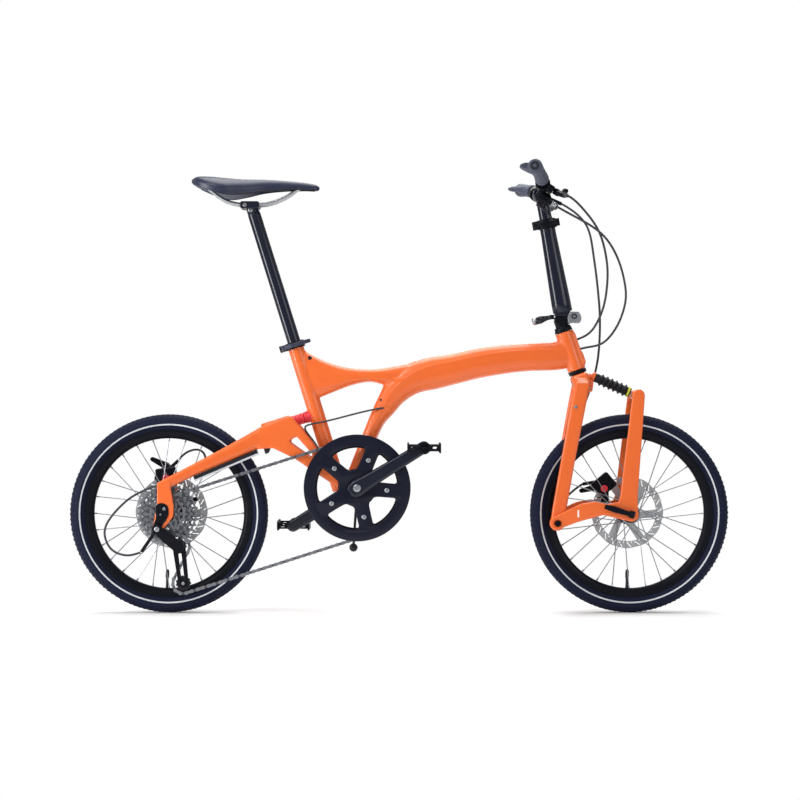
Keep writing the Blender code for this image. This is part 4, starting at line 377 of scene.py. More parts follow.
def lathe(profile, place, axis, steps, ring=False):
    """Turn (radius, height) points by extruding a circle. A ring closes on its first point."""
    profile = [(radius * MM, height * MM) for radius, height in profile]
    if ring:
        profile = [*profile, profile[0]]
    deselect()
    fill = "NOTHING" if ring else "NGON"
    bpy.ops.mesh.primitive_circle_add(vertices=steps, radius=profile[0][0], fill_type=fill,
                                      location=(0, 0, profile[0][1]))
    obj = bpy.context.active_object
    bpy.ops.object.mode_set(mode="EDIT")
    bpy.ops.mesh.select_all(action="SELECT")
    for (r0, h0), (r1, h1) in zip(profile, profile[1:]):
        bpy.ops.mesh.extrude_region_move(TRANSFORM_OT_translate={"value": (0, 0, h1 - h0)})
        bpy.ops.transform.resize(value=(r1 / r0, r1 / r0, 1), center_override=(0, 0, h1))
    if not ring:
        bpy.ops.mesh.select_all(action="DESELECT")
        bpy.ops.mesh.select_non_manifold()
        bpy.ops.mesh.edge_face_add()
    bpy.ops.object.mode_set(mode="OBJECT")
    settle(obj)
    obj.rotation_mode = "QUATERNION"
    obj.rotation_quaternion = UP.rotation_difference(axis)
    obj.location = place
    settle(obj)
    return tidy_mesh(obj)


def rod(radius, low, high, place, axis=LEFT, steps=48):
    return lathe([(radius, low), (radius, high)], place, axis, steps)


def to_mesh(obj):
    only(obj)
    bpy.ops.object.convert(target="MESH")
    return tidy_mesh(settle(bpy.context.active_object), 0.005 * MM)


def plate(outlines, y_low, y_high, edge=0.4, rounds=1):
    """A flat plate from (x, z) outlines: the first is its rim and the others are holes."""
    curve = bpy.data.curves.new("plate", "CURVE")
    curve.dimensions = "2D"
    curve.fill_mode = "BOTH"
    curve.extrude = ((y_high - y_low) / 2 - edge) * MM
    curve.bevel_depth = edge * MM
    curve.bevel_resolution = rounds
    curve.offset = -edge * MM
    for outline in outlines:
        spline = curve.splines.new("POLY")
        spline.points.add(len(outline) - 1)
        spline.use_cyclic_u = True
        for point, (x, z) in zip(spline.points, outline):
            point.co = (x, z, 0, 1)
    obj = new_object("plate", curve)
    obj.location = (0, (y_low + y_high) / 2 * MM, 0)
    obj.rotation_euler = (pi / 2, 0, 0)
    return to_mesh(obj)


def tube(points, radius, resolution=4, radii=None):
    """A round tube along points, with closed ends."""
    curve = bpy.data.curves.new("tube", "CURVE")
    curve.dimensions = "3D"
    curve.bevel_depth = radius * MM
    curve.bevel_resolution = resolution
    curve.use_fill_caps = True
    spline = curve.splines.new("POLY")
    spline.points.add(len(points) - 1)
    for k, point in enumerate(points):
        spline.points[k].co = (*point, 1)
        spline.points[k].radius = radii[k] / radius if radii else 1
    return to_mesh(new_object("tube", curve))


def smooth(points, steps):
    """Points of a smooth curve through the given ones."""
    points = [Vector(point) for point in points]
    ends = [2 * points[0] - points[1], *points, 2 * points[-1] - points[-2]]
    run = []
    for before, start, end, after in zip(ends, ends[1:], ends[2:], ends[3:]):
        for k in range(steps):
            t = k / steps
            run.append(0.5 * (
                2 * start + (end - before) * t
                + (2 * before - 5 * start + 4 * end - after) * t ** 2
                + (3 * start - before - 3 * end + after) * t ** 3
            ))
    return [*run, points[-1]]


def skin(rings):
    """A closed skin through rings of points."""
    count = len(rings[0])
    verts = [point for ring in rings for point in ring]
    faces = []
    for low in range(0, len(verts) - count, count):
        for i in range(count):
            j = (i + 1) % count
            faces.append([low + i, low + j, low + count + j, low + count + i])
    faces += [list(range(count)), list(range(len(verts) - count, len(verts)))]
    return tidy_mesh(mesh_object("skin", verts, faces))


RING_POINTS, SQUARENESS = 28, 2.6


def section(top, bottom, half_width):
    """A rounded ring between two (x, z) points of the side view."""
    top, bottom = at_y(top, 0), at_y(bottom, 0)
    centre, half = (top + bottom) / 2, (top - bottom) / 2
    ring = []
    for k in range(RING_POINTS):
        up, out = cos(tau * k / RING_POINTS), sin(tau * k / RING_POINTS)
        reach = (abs(up) ** SQUARENESS + abs(out) ** SQUARENESS) ** (-1 / SQUARENESS)
        ring.append(centre + half * up * reach + LEFT * half_width * MM * out * reach)
    return ring


def smooth_rings(rings, steps):
    """Rings in between, so that a skin through them has no kinks."""
    lines = [smooth([ring[k] for ring in rings], steps) for k in range(len(rings[0]))]
    return [[line[r] for line in lines] for r in range(len(lines[0]))]


def boolean(obj, tool, operation):
    modify(obj, "BOOLEAN", operation=operation, object=tool, solver="EXACT")
    bpy.data.objects.remove(tool)
    return obj


def bore(obj, radius, low, high, place, axis):
    return boolean(obj, rod(radius, low, high, place, axis), "DIFFERENCE")


def soften(obj, voxel, rounds):
    """Turn a rough solid into one even skin and melt its edges, as casting and welding do."""
    modify(obj, "REMESH", mode="VOXEL", voxel_size=voxel * MM)
    return modify(obj, "SMOOTH", factor=0.5, iterations=rounds)


def cad_copy(node):
    """A merged copy of a CAD node, to be refined into a piece of its own."""
    copy = new_object(node + "_copy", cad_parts[node].data.copy())
    return in_edit(copy, (bpy.ops.mesh.remove_doubles, {"threshold": 0.02 * MM}),
                   (bpy.ops.mesh.dissolve_limited, {"angle_limit": radians(0.5)}))


def round_edges(obj, width):
    return modify(obj, "BEVEL", width=width * MM, segments=2, limit_method="ANGLE", angle_limit=radians(28))


def polar(centre, radius, degrees):
    """The point of the side view at a distance and an angle from a centre."""
    return centre[0] + radius * MM * cos(radians(degrees)), centre[1] + radius * MM * sin(radians(degrees))


def arc(centre, radius, start, end, steps):
    return [polar(centre, radius, start + (end - start) * k / steps) for k in range(steps + 1)]


def circle(centre, radius, steps):
    return arc(centre, radius, 0, 360, steps)[:-1]


def rounded(points, radius, steps=5):
    """The outline with its corners rounded."""
    run = []
    for before, corner, after in zip(points[-1:] + points[:-1], points, points[1:] + points[:1]):
        corner = Vector(corner)
        reach = [min(radius * MM, (Vector(end) - corner).length / 2) for end in (before, after)]
        first = corner + (Vector(before) - corner).normalized() * reach[0]
        last = corner + (Vector(after) - corner).normalized() * reach[1]
        for k in range(steps + 1):
            t = k / steps
            run.append(tuple(first.lerp(corner, t).lerp(corner.lerp(last, t), t)))
    return run


def bolt(place, axis, radius, height, material, body, name):
    """A socket screw: a turned head with a rounded rim and a hollow hexagon."""
    profile = [(radius * 0.9, 0), (radius, height * 0.15), (radius, height * 0.75), (radius * 0.85, height)]
    screw = lathe(profile, place, axis, 20)
    boolean(screw, rod(radius * 0.5, height * 0.4, height * 1.2, place, axis, 6), "DIFFERENCE")
    return hand_over(screw, name, material, body)


# %% Shared places
WHEELBASE = 1011 * MM
REAR_AXLE = Vector((-WHEELBASE / 2, 0, 217.5 * MM))
FRONT_AXLE = Vector((WHEELBASE / 2, 0, 217.5 * MM))
CRANK = REAR_AXLE + Vector((414.2 * MM, 0, 57.5 * MM))
TILTS = (radians(18.6), radians(17.3), radians(10.3))
HEAD_UP, SEAT_UP, POST_UP = (Vector((-sin(tilt), 0, cos(tilt))) for tilt in TILTS)
HEAD_AHEAD = Vector((HEAD_UP.z, 0, -HEAD_UP.x))
HEAD_LOW = FRONT_AXLE + Vector((-114.5 * MM, 0, 314.5 * MM))
HEAD_TOP = HEAD_LOW + HEAD_UP * 88.5 * MM
SEAT_BACK = Vector((-SEAT_UP.z, 0, SEAT_UP.x))
SEAT_TOP = CRANK + Vector((-139.7 * MM, 0, 319 * MM))
POST_TOP = SEAT_TOP + SEAT_UP * 315 * MM
PIVOT = FRONT_AXLE + Vector((-160.5 * MM, 0, -19.5 * MM))
HINGE = HEAD_TOP + Vector((21 * MM, 0, 34 * MM))
POST_FOOT = HINGE + Vector((-23 * MM, 0, 5 * MM))
BAR = POST_FOOT + POST_UP * 267 * MM


def offset(anchor):
    """A function that gives side-view points in millimetres from an anchor."""
    return lambda dx, dz: (anchor.x + dx * MM, anchor.z + dz * MM)


head, crank, rear, front, pivot = (offset(a) for a in (HEAD_LOW, CRANK, REAR_AXLE, FRONT_AXLE, PIVOT))


def at_y(point, y):
    """A point of the side view, put at a distance to the left of the middle plane."""
    return Vector((point[0], y * MM, point[1]))


def both_sides(anchor, half):
    """A line from right to left, by the points of its left half from the middle outwards."""
    right = [anchor + Vector((x, -y, z)) * MM for x, y, z in reversed(half)]
    return right + [anchor + Vector((x, y, z)) * MM for x, y, z in half[1:]]


def on_head(up, ahead, left):
    """A place by its height on the head tube's axis and its distances from it."""
    return HEAD_LOW + (HEAD_UP * up + HEAD_AHEAD * ahead + LEFT * left) * MM


# %% [markdown]
# ## The frame
#
# The frame is two hydroformed aluminium shells welded into one swept beam: it leaves the head tube, bends
# down to the crank, and sends a second branch back to the seat tube. It is skinned through rounded
# sections, joined with its tubes, remeshed into one even skin and melted a little, which gives the soft
# welds.

# %% Main frame
BEAM_CREASES = (
    [head(-52, 44), head(-128, 41), head(-204, 32), crank(206, 274), crank(158, 264), crank(113, 243),
     crank(80, 213), crank(61, 182), crank(43, 150), crank(24, 112), crank(8, 76)],
    [crank(-102, 212), crank(-79, 219), crank(-52, 226), crank(-11, 236), crank(30, 239), crank(70, 238),
     crank(110, 236)],
)


def crease(beam, places, side):
    """A pressed edge on one flank of the beam: a thin round that the skin then takes in."""
    bpy.context.view_layer.update()
    run = []
    for x, z, _ in smooth([(x, z, 0) for x, z in places], 6):
        hit, spot, _, _ = beam.ray_cast((x, side * OUTSIDE, z), LEFT * -side)
        if hit:
            run.append(spot - LEFT * side * 1.4 * MM)
    return tube(run, 3, 2)


def swept(sections):
    return skin(smooth_rings([section(*pair, half) for pair, half in sections], 4))


def head_block(half, low, high, back, ahead):
    """A block on the front of the head tube."""
    corners = ((-half, low), (half, low), (half, high), (-half, high))
    return skin([[on_head(up, depth, left) for left, up in corners] for depth in (back, ahead)])


def main_frame():
    beam = swept((
        ((head(-25, 68), head(-5, 8)), 16), ((head(-53, 62), head(-46, 0)), 21),
        ((head(-127, 58), head(-119, -3)), 24), ((head(-204, 51), head(-201, -15)), 25),
        ((crank(204, 293), crank(219, 227)), 25), ((crank(151, 284), crank(175, 215.6)), 24.5),
        ((crank(101, 266), crank(135, 207)), 24), ((crank(66, 237), crank(102, 187)), 23),
        ((crank(48, 203), crank(78, 160)), 22), ((crank(31, 166), crank(59, 139)), 21.5),
        ((crank(12, 119), crank(43, 107)), 21), ((crank(-12, 58), crank(19, 46)), 20.5),
        ((crank(-26, 22), crank(5, 10)), 20),
    ))
    branch = swept((
        ((crank(131, 275), crank(121, 230)), 19), ((crank(71, 264), crank(69, 223)), 20),
        ((crank(32, 259.6), crank(29, 231)), 19.5), ((crank(-12, 262), crank(-10, 224.4)), 19),
        ((crank(-52, 270.6), crank(-52, 209)), 18), ((crank(-89, 285), crank(-79, 198)), 16.5),
        ((crank(-124, 305), crank(-105, 191)), 14),
    ))
    seat_tube = rod(17.3, 0, -341, SEAT_TOP, SEAT_UP)
    shell = rod(23, 34, -34, CRANK)
    head_tube = lathe([(20.5, 88.5), (19.6, 76), (19.6, 12), (20.5, 0)], HEAD_LOW, HEAD_UP, 48)
    pad = head_block(12, 7, 81.5, 14, 22)
    face = head_block(9.5, 10, 35.5, 15, 24.5)
    for tool in (branch, seat_tube, shell, head_tube, pad, face):
        boolean(beam, tool, "UNION")
    join(beam, *[crease(beam, places, side) for places in BEAM_CREASES for side in (-1, 1)])
    soften(beam, 2.0, 7)
    bore(beam, 14.8, 30, -420, SEAT_TOP, SEAT_UP)
    bore(beam, 17.4, 60, -60, CRANK, LEFT)
    bore(beam, 17.6, 120, -20, HEAD_LOW, HEAD_UP)
    drop_slivers(beam)
    return hand_over(beam, "frame_shell", orange_paint, "frame", "main_frame", angle=60,
                     slot="orange_paint")


frame_shell = main_frame()
print("frame faces", len(frame_shell.data.polygons))

# %% [markdown]
# ## The tyres
#
# A tyre is a rubber ring moulded with its tread, and these have a pale reflecting band on each side. The
# section is an oval with two fine grooves, turned into a ring. The shoulder blocks are one small slanted
# block, copied round the wheel, because a real mould is cut the same way.

# %% Tyres
# The tyre's section is an oval: how far it is from the axle, half its height and half its width.
SECTION_RADIUS, SECTION_HIGH, SECTION_WIDE = 200.5, 17, 20
GROOVE_ANGLE, GROOVE_DEPTH = 77.5, 1.2
TREAD_STEPS, WHEEL_STEPS = 120, 112


def on_tyre(degrees, proud):
    """A (radius, height) point on the tyre's section; 90 degrees is the crown."""
    a = radians(degrees)
    return SECTION_RADIUS + (SECTION_HIGH + proud) * sin(a), (SECTION_WIDE + proud) * cos(a)


def tyre_point(axle, degrees, proud, turn):
    radius, height = on_tyre(degrees, proud)
    return axle + Vector((radius * cos(turn), height, radius * sin(turn))) * MM


def tyre(axle, body, node):
    angles = [-52, -40, -28, -16, -4, 8, 20, 32, 44, 55, 65, 73, 76, GROOVE_ANGLE, 79, 84, 90]
    grooved = [on_tyre(a, -GROOVE_DEPTH if a == GROOVE_ANGLE else 0) for a in angles]
    grooved.insert(0, (183.6, 11))
    profile = [*grooved, *[(radius, -height) for radius, height in reversed(grooved[:-1])]]
    ring = lathe(profile, axle, LEFT, WHEEL_STEPS, ring=True)
    hand_over(ring, node + "_casing", tyre_rubber, body, node, angle=50, slot="tyre_rubber")
    blocks = []
    for low, high in ((28, 68), (112, 152)):
        rings = []
        for proud in (-0.5, 1.5):
            shrink = 0 if proud < 0 else 0.15
            rings.append([tyre_point(axle, a, proud, radians(t)) for a, t in (
                (low, shrink), (high, 0.9 + shrink), (high, 2.0 - shrink), (low, 1.1 - shrink))])
        blocks.append(skin(rings))
    tread = repeat(join(*blocks), TREAD_STEPS, axle)
    hand_over(tread, node + "_tread", tyre_rubber, body, angle=20, slot="tyre_rubber")
    for side, (low, high) in (("right", (193, 204)), ("left", (-24, -13))):
        strip = [on_tyre(a, p) for a, p in ((low, -0.4), (high, -0.4), (high, 0.25), (low, 0.25))]
        ring = lathe(strip, axle, LEFT, WHEEL_STEPS, ring=True)
        hand_over(ring, f"{node}_{side}_band", reflective_band, body, angle=50)


tyre(REAR_AXLE, "rear_wheel", "rear_tyre")
tyre(FRONT_AXLE, "front_wheel", "front_tyre")
print("tyres with", 2 * TREAD_STEPS, "shoulder blocks each")

# %% [markdown]
# ## Rims, spokes and hubs
#
# The rims are black box sections, extruded straight, rolled and welded. Fourteen spokes leave each flange
# of the hub, by turns forwards and backwards, so that they cross. A spoke with its nipple is made once
# for each lean and copied round the hub.

# %% Rims, spokes and hubs
RIM_INNER = 164.5
SPOKES = 14


def spoke(axle, flange_y, flange_radius, shift, lean):
    """One spoke from the hub's flange to the rim, and its nipple."""
    turn = tau / SPOKES
    outward = 1 if flange_y > 0 else -1
    start_angle, end_angle = turn * shift, turn * (shift + lean * 2)
    start = axle + Vector((cos(start_angle), 0, sin(start_angle))) * (flange_radius - 2.6) * MM
    start.y = (flange_y + outward * lean * 2.1) * MM
    end = axle + Vector((cos(end_angle), 0, sin(end_angle))) * (RIM_INNER + 1.5) * MM
    end.y = outward * 1.5 * MM
    way = (end - start).normalized()
    wire = tube([start, end - way * 5 * MM], 1.1, 1)
    nipple = lathe([(1.5, 0), (1.9, 0.8), (1.9, 6), (2.3, 7.5)], end - way * 7.5 * MM, way, 8)
    return wire, nipple


def hub_profile(width, rotor_y, left, right, arm, driver):
    """The hub, left to right. Its axle stands out by arm, and driver is the radius of its sprocket seat."""
    half, tip = width / 2, width / 2 + arm - 0.5
    (left_y, left_r), (right_y, right_r) = left, right
    run = [(4.2, tip), (4.7, tip - 1), (4.7, half), (8, half), (8, rotor_y + 3), (16, rotor_y + 3),
           (16, rotor_y - 1.4), (22, rotor_y - 1.6), (22, left_y + 3), (left_r - 1, left_y + 1.8),
           (left_r, left_y), (left_r - 1, left_y - 1.5), (17, left_y - 4), (13.5, left_y - 8),
           (12.5, (left_y + right_y) / 2), (13.5, right_y + 8), (17, right_y + 4),
           (right_r - 1, right_y + 1.5), (right_r, right_y), (right_r - 1, right_y - 1.8)]
    run += [(driver, right_y - 3), (driver, -half + 4)] if driver else [(12, right_y - 7)]
    return run + [(8, -half + 4), (8, -half), (4.7, -half), (4.7, -tip + 1), (4.2, -tip)]


def wheel(axle, body, end, width, rotor_y, flanges, arm, driver):
    profile = [(184.2, 11.6), (183.4, 12.4), (178, 12.4), (172, 11.6), (166.4, 7.4), (164.8, 5.4),
               (RIM_INNER, 3.5)]
    profile += [(radius, -height) for radius, height in reversed(profile)]
    hoop = lathe(profile, axle, LEFT, WHEEL_STEPS, ring=True)
    hand_over(hoop, end + "_rim_hoop", black_alloy, body, end + "_rim", slot="black_alloy")
    wires, nipples = [], []
    for side, (flange_y, radius) in enumerate(flanges):
        for k in range(2):
            wire, nipple = spoke(axle, flange_y, radius, k + side / 2, 1 if k == 0 else -1)
            wires.append(repeat(wire, SPOKES // 2, axle))
            nipples.append(repeat(nipple, SPOKES // 2, axle))
    hand_over(join(*wires), end + "_spokes", drawn_wire, body, slot="bright_steel")
    hand_over(join(*nipples), end + "_nipples", plated_steel, body)
    hub = lathe(hub_profile(width, rotor_y, *flanges, arm, driver), axle, LEFT, 48)
    hand_over(hub, end + "_hub_shell", black_alloy, body, end + "_hub", slot="black_alloy")
    down = Vector((-0.03, 0, -1)).normalized()
    stem = lathe([(3.4, 0), (3.4, 5), (2.9, 6), (2.9, 24), (4.0, 25), (4.0, 38), (3.0, 42), (1.6, 43)],
                 axle + down * (RIM_INNER + 2) * MM, -down, 16)
    hand_over(stem, end + "_valve", moulded_nylon, body)


# Where each flange stands to the left of the middle plane, and its radius.
REAR_FLANGES, FRONT_FLANGES = ((32, 27), (-18, 27)), ((24, 26), (-32, 22))
REAR_ROTOR_Y, FRONT_ROTOR_Y = 52, 39.5
wheel(REAR_AXLE, "rear_wheel", "rear", 135, REAR_ROTOR_Y, REAR_FLANGES, 10, 16.2)
wheel(FRONT_AXLE, "front_wheel", "front", 100, FRONT_ROTOR_Y, FRONT_FLANGES, 12, None)
print("spokes", 2 * 2 * SPOKES)

# %% [markdown]
# ## The brake discs
#
# A disc is stamped from stainless sheet and ground flat. Slanted slots in its track shed water, and six
# swept arms carry the track. The outline with all its slots is filled as one flat plate, so the slots are
# true holes.

# %% Brake discs
# Degrees from one arm of a disc to the next, and from slot to slot.
ARM_STEP, SLOT_STEP = 60, 15


def slot_hole(centre, start, inner, outer, sweep, wide):
    """A slanted slot with round ends between two radii."""
    points = []
    for radius, angle, first in ((outer, start + sweep, -80), (inner, start, 100)):
        end = polar(centre, radius, angle)
        points += [polar(end, wide, start + sweep + first + 40 * k) for k in range(5)]
    return points


def brake_disc(axle, body, node, y):
    centre = (axle.x, axle.z)
    rim_points = [polar(centre, 79.4 + 0.6 * cos(radians(30 * k)), 2.5 * k) for k in range(144)]
    holes = [circle(centre, 16.5, 36)]
    screws = [polar(centre, 22, a + 45) for a in range(0, 360, ARM_STEP)]
    for k, screw in enumerate(screws):
        a = ARM_STEP * k
        holes.append(arc(centre, 64, a + 6, a + 50, 12) + arc(centre, 26, a + 27, a + 3, 5))
        holes.append(circle(screw, 2.2, 10))
    for a in range(0, 360, SLOT_STEP):
        holes.append(slot_hole(centre, a, 67.5, 76, 6, 1.3))
        holes.append(circle(polar(centre, 67, a + 8), 1.4, 8))
    disc = plate([rim_points, *holes], y - 0.9, y + 0.9, 0.2, 0)
    hand_over(disc, node + "_disc", ground_steel, body, node, angle=30)
    for k, screw in enumerate(screws):
        bolt(at_y(screw, y + 0.9), LEFT, 3.6, 2.2, stainless, body, f"{node}_screw_{k}")


brake_disc(REAR_AXLE, "rear_wheel", "rear_rotor", REAR_ROTOR_Y)
brake_disc(FRONT_AXLE, "front_wheel", "front_rotor", FRONT_ROTOR_Y)
print("discs with", 2 * 360 // SLOT_STEP, "slots and holes each")

# %% [markdown]
# ## Sprockets, chain and chainring
#
# Nine stamped sprockets sit on the freehub with spacers between them. The chain is made of real links:
# waisted side plates, pins and rollers, modelled once and set out along the path that runs tangent to all
# four wheels. The tooth tips of the wheels that carry it stay inside the rollers, so that they can turn
# under a rigid loop.

# %% Sprockets
# The chain runs in the plane y = CHAIN_LINE, over the sprocket with the index WORKING.
PITCH = 12.7
CHAIN_LINE = -47
SPROCKET_TEETH = (11, 13, 15, 17, 20, 23, 26, 28, 32)
SPROCKET_STEP = 4.35
WORKING = 3
RING_TEETH, PULLEY_TEETH = 52, 11
GUIDE_PULLEY, TENSION_PULLEY = rear(25.9, -70.5), rear(35.5, -150)


def pitch_radius(teeth):
    return PITCH / (2 * sin(pi / teeth))


def under_chain(teeth):
    """The radius of teeth that stay inside the rollers of the chain."""
    return pitch_radius(teeth) - 4.5 - PITCH ** 2 / (8 * pitch_radius(teeth))


def toothed(centre, teeth, root, tip):
    """The outline of a sprocket, with five points to a tooth."""
    flank = root + 0.25 * (tip - root)
    shares = ((-0.5, root), (-0.28, flank), (-0.1, tip), (0.1, tip), (0.28, flank))
    return [polar(centre, radius, 360 * (k + share) / teeth)
            for k in range(teeth) for share, radius in shares]


def sprockets():
    centre = (REAR_AXLE.x, REAR_AXLE.z)
    plain, bright, spacers = [], [], []
    for k, teeth in enumerate(SPROCKET_TEETH):
        y = CHAIN_LINE + (k - WORKING) * SPROCKET_STEP
        tip = under_chain(teeth) if k == WORKING else pitch_radius(teeth) + 2.2
        root = tip - (2.4 if k == WORKING else 5.2)
        holes = [circle(centre, 17.5, 28)]
        if teeth > 18:
            count = 6 if teeth < 25 else 9
            gap = 360 / count
            holes += [arc(centre, root - 4, gap * j + 6, gap * j + gap - 6, 5)
                      + arc(centre, 23.5, gap * j + gap - 4, gap * j + 8, 3) for j in range(count)]
        # Every second sprocket gets the darker steel as painted shade, for the shadow between the sprockets.
        group = plain if k % 2 else bright
        group.append(plate([toothed(centre, teeth, root, tip), *holes], y - 0.9, y + 0.9, 0.25, 0))
        if k:
            ring = [(17.6, y - 3.4), (21, y - 3.4), (21, y - 0.9), (17.6, y - 0.9)]
            spacers.append(lathe(ring, REAR_AXLE, LEFT, 28, ring=True))
    hand_over(join(*plain), "sprockets_painted_shade", dark_steel_and_painted_shade, "sprockets", "cassette", angle=25,
              slot="bright_steel")
    hand_over(join(*bright), "sprockets_bright", plated_steel, "sprockets", angle=25, slot="bright_steel")
    hand_over(join(*spacers), "sprocket_spacers", moulded_nylon, "sprockets")


sprockets()

# %% Chain path
def chain_path():
    """Lines and arcs tangent to the ring, the two pulleys and the working sprocket."""
    wheels = [(Vector(centre), pitch_radius(teeth) * MM, turn) for centre, teeth, turn in (
        (crank(0, 0), RING_TEETH, -1), (TENSION_PULLEY, PULLEY_TEETH, -1),
        (GUIDE_PULLEY, PULLEY_TEETH, 1), (rear(0, 0), SPROCKET_TEETH[WORKING], -1))]
    tangents = []
    for (a, ra, ta), (b, rb, tb) in zip(wheels, wheels[1:] + wheels[:1]):
        line = b - a
        normal = atan2(line.y, line.x) - acos((ra * ta - rb * tb) / line.length)
        across = Vector((cos(normal), sin(normal)))
        tangents.append((a + across * ra * ta, b + across * rb * tb))
    run = []
    for k, (centre, radius, turn) in enumerate(wheels):
        enter, leave = tangents[k - 1][1] - centre, tangents[k][0] - centre
        start = atan2(enter.y, enter.x)
        sweep = (atan2(leave.y, leave.x) - start) * turn % tau * turn
        run.append((radius * abs(sweep), centre, radius, start, sweep))
        run.append(((tangents[k][1] - tangents[k][0]).length, *tangents[k]))
    return run


def chain_place(run, distance):
    """The place and direction at a distance along the path."""
    for length, *data in run:
        if distance <= length:
            share = distance / length
            if len(data) == 2:
                return data[0].lerp(data[1], share), (data[1] - data[0]).normalized()
            centre, radius, start, sweep = data
            angle = start + sweep * share
            side = 1 if sweep > 0 else -1
            out, along = Vector((cos(angle), sin(angle))), Vector((-sin(angle), cos(angle)))
            return centre + radius * out, side * along
        distance -= length
    return chain_place(run, 0)


def link(y_in, y_out, rollers):
    """A link about the origin: two waisted plates, and rollers or pin heads."""
    half = PITCH / 2
    back, ahead = (-half * MM, 0), (half * MM, 0)
    outline = [*arc(ahead, 4, -75, 75, 5), (0, 2.7 * MM), *arc(back, 4, 105, 255, 5), (0, -2.7 * MM)]
    pieces = [plate([outline], low, high, 0.15, 0) for low, high in ((y_in, y_out), (-y_out, -y_in))]
    reach, radius = (y_in, 3.7) if rollers else (y_out + 0.25, 1.7)
    pieces += [rod(radius, -reach, reach, at_y(end, 0), LEFT, 10) for end in (back, ahead)]
    return join(*pieces)


def chain():
    run = chain_path()
    total = sum(part[0] for part in run)
    links = 2 * round(total / (PITCH * MM) / 2)
    step = total / links
    for name, first, template, material, nodes in (
        ("chain_outer_links", 0, link(2.1, 3.0, False), plated_steel, ["chain"]),
        ("chain_inner_links", 1, link(1.2, 2.1, True), dark_steel_and_painted_shade, []),
    ):
        verts, faces = [], []
        for k in range(first, links, 2):
            place, way = chain_place(run, (k + 0.5) * step)
            turn = Matrix.Rotation(-atan2(way.y, way.x), 4, "Y")
            move = Matrix.Translation(at_y(place, CHAIN_LINE)) @ turn
            faces += [[i + len(verts) for i in polygon.vertices] for polygon in template.data.polygons]
            verts += [move @ vertex.co for vertex in template.data.vertices]
        bpy.data.objects.remove(template)
        links_run = mesh_object(name, verts, faces)
        hand_over(links_run, name, material, "rear_arm", *nodes, angle=30, slot="bright_steel")
    return links


print("chain links", chain())

# %% Pulleys, chainring and guard
def pulley(centre, node, body):
    tip = under_chain(PULLEY_TEETH)
    wheel_plate = plate([toothed(centre, PULLEY_TEETH, tip - 2.2, tip), circle(centre, 3.6, 20)],
                        CHAIN_LINE - 1.2, CHAIN_LINE + 1.2, 0.3)
    core = lathe([(3.6, -3.6), (7.4, -3.6), (8.6, -1.2), (8.6, 1.2), (7.4, 3.6), (3.6, 3.6)],
                 at_y(centre, CHAIN_LINE), LEFT, 32, ring=True)
    hand_over(join(wheel_plate, core), node + "_wheel", moulded_nylon, body, node, slot="black_plastic")


pulley(GUIDE_PULLEY, "upper_pulley", "guide_wheel")
pulley(TENSION_PULLEY, "lower_pulley", "tension_wheel")
# The angles of the five arms of the ring and of its guard.
GUARD_ARMS = [67.5 + 72 * k for k in range(5)]


def window(centre, start, inner, outer, radius):
    """One opening between two arms: a broad outer arc, rounded corners and a narrow foot."""
    rim = arc(centre, outer, start + 10, start + 62, 6)
    foot = arc(centre, inner, start + 49, start + 23, 2)
    return rounded(rim + foot, radius)


def ring_and_guard():
    centre = crank(0, 0)
    tip = under_chain(RING_TEETH)
    holes = [circle(centre, 20.5, 40), *[window(centre, start, 42, tip - 13, 9) for start in GUARD_ARMS]]
    ring = plate([toothed(centre, RING_TEETH, tip - 3, tip), *holes], CHAIN_LINE - 1.5, CHAIN_LINE + 1.5)
    hand_over(ring, "chainring_plate", black_alloy, "cranks", "chainring", angle=30)
    outer = CHAIN_LINE - 3.4
    holes = [circle(centre, 18.9, 40), *[window(centre, start, 40, 91, 11) for start in GUARD_ARMS]]
    guard = plate([circle(centre, 116.5, 128), *holes], outer - 5, outer, 1.3, 2)
    lip = lathe([(99, outer - 5.6), (112, outer - 6.2), (115.6, outer - 5.4), (116.4, outer - 3),
                 (99, outer - 3)], CRANK, LEFT, 128, ring=True)
    hand_over(join(guard, lip), "guard_disc", gloss_polycarbonate, "cranks", "chain_guard",
              slot="black_plastic")
    for k, start in enumerate(GUARD_ARMS):
        place = polar(centre, 65, start)
        sleeve = rod(5.4, outer - 6.4, CHAIN_LINE - 1.6, at_y(place, 0), LEFT, 24)
        hand_over(sleeve, f"guard_sleeve_{k}", black_alloy, "cranks")
        bolt(at_y(place, outer - 6.4), -LEFT, 5, 2.2, silver_forging, "cranks", f"guard_bolt_{k}")


ring_and_guard()

# %% [markdown]
# ## The seat
#
# The seat post is a drawn tube with a forged cradle on top. The saddle is firm foam under a tight cover,
# so it has no folds to simulate: a smooth skin is drawn through ten sections, as a saddle maker draws the
# mould. A welt closes the cover round the lower edge.

# %% Seat post, rails and saddle
def seat_post():
    post = lathe([(12.6, -115), (14.5, -115), (14.5, 292), (13.9, 296), (13.2, 299)], SEAT_TOP, SEAT_UP, 56)
    neck = tube([SEAT_TOP + SEAT_UP * 285 * MM, POST_TOP - UP * 3 * MM], 13.4, 6)
    corners = [offset(POST_TOP)(*corner) for corner in ((-24, -9), (19, -9), (19, 7), (-24, 7))]
    cradle = plate([rounded(corners, 6)], -28, 28, 2, 3)
    barrel = lathe([(7.6, -16.5), (9.4, -15), (9.4, 15), (7.6, 16.5)], POST_TOP + Vector((-1, 0, -11)) * MM,
                   LEFT, 32)
    hand_over(join(post, neck, cradle, barrel), "seat_post_tube", black_gloss, "seat", "seat_post",
              slot="black_alloy")
    for name, dx, dz, y, radius in (("front", -1, -11, -16.5, 5.2), ("rear", -13, -1, -28, 4.6)):
        place = POST_TOP + Vector((dx, y, dz)) * MM
        bolt(place, -LEFT, radius, 2.4, silver_forging, "seat", f"cradle_bolt_{name}")


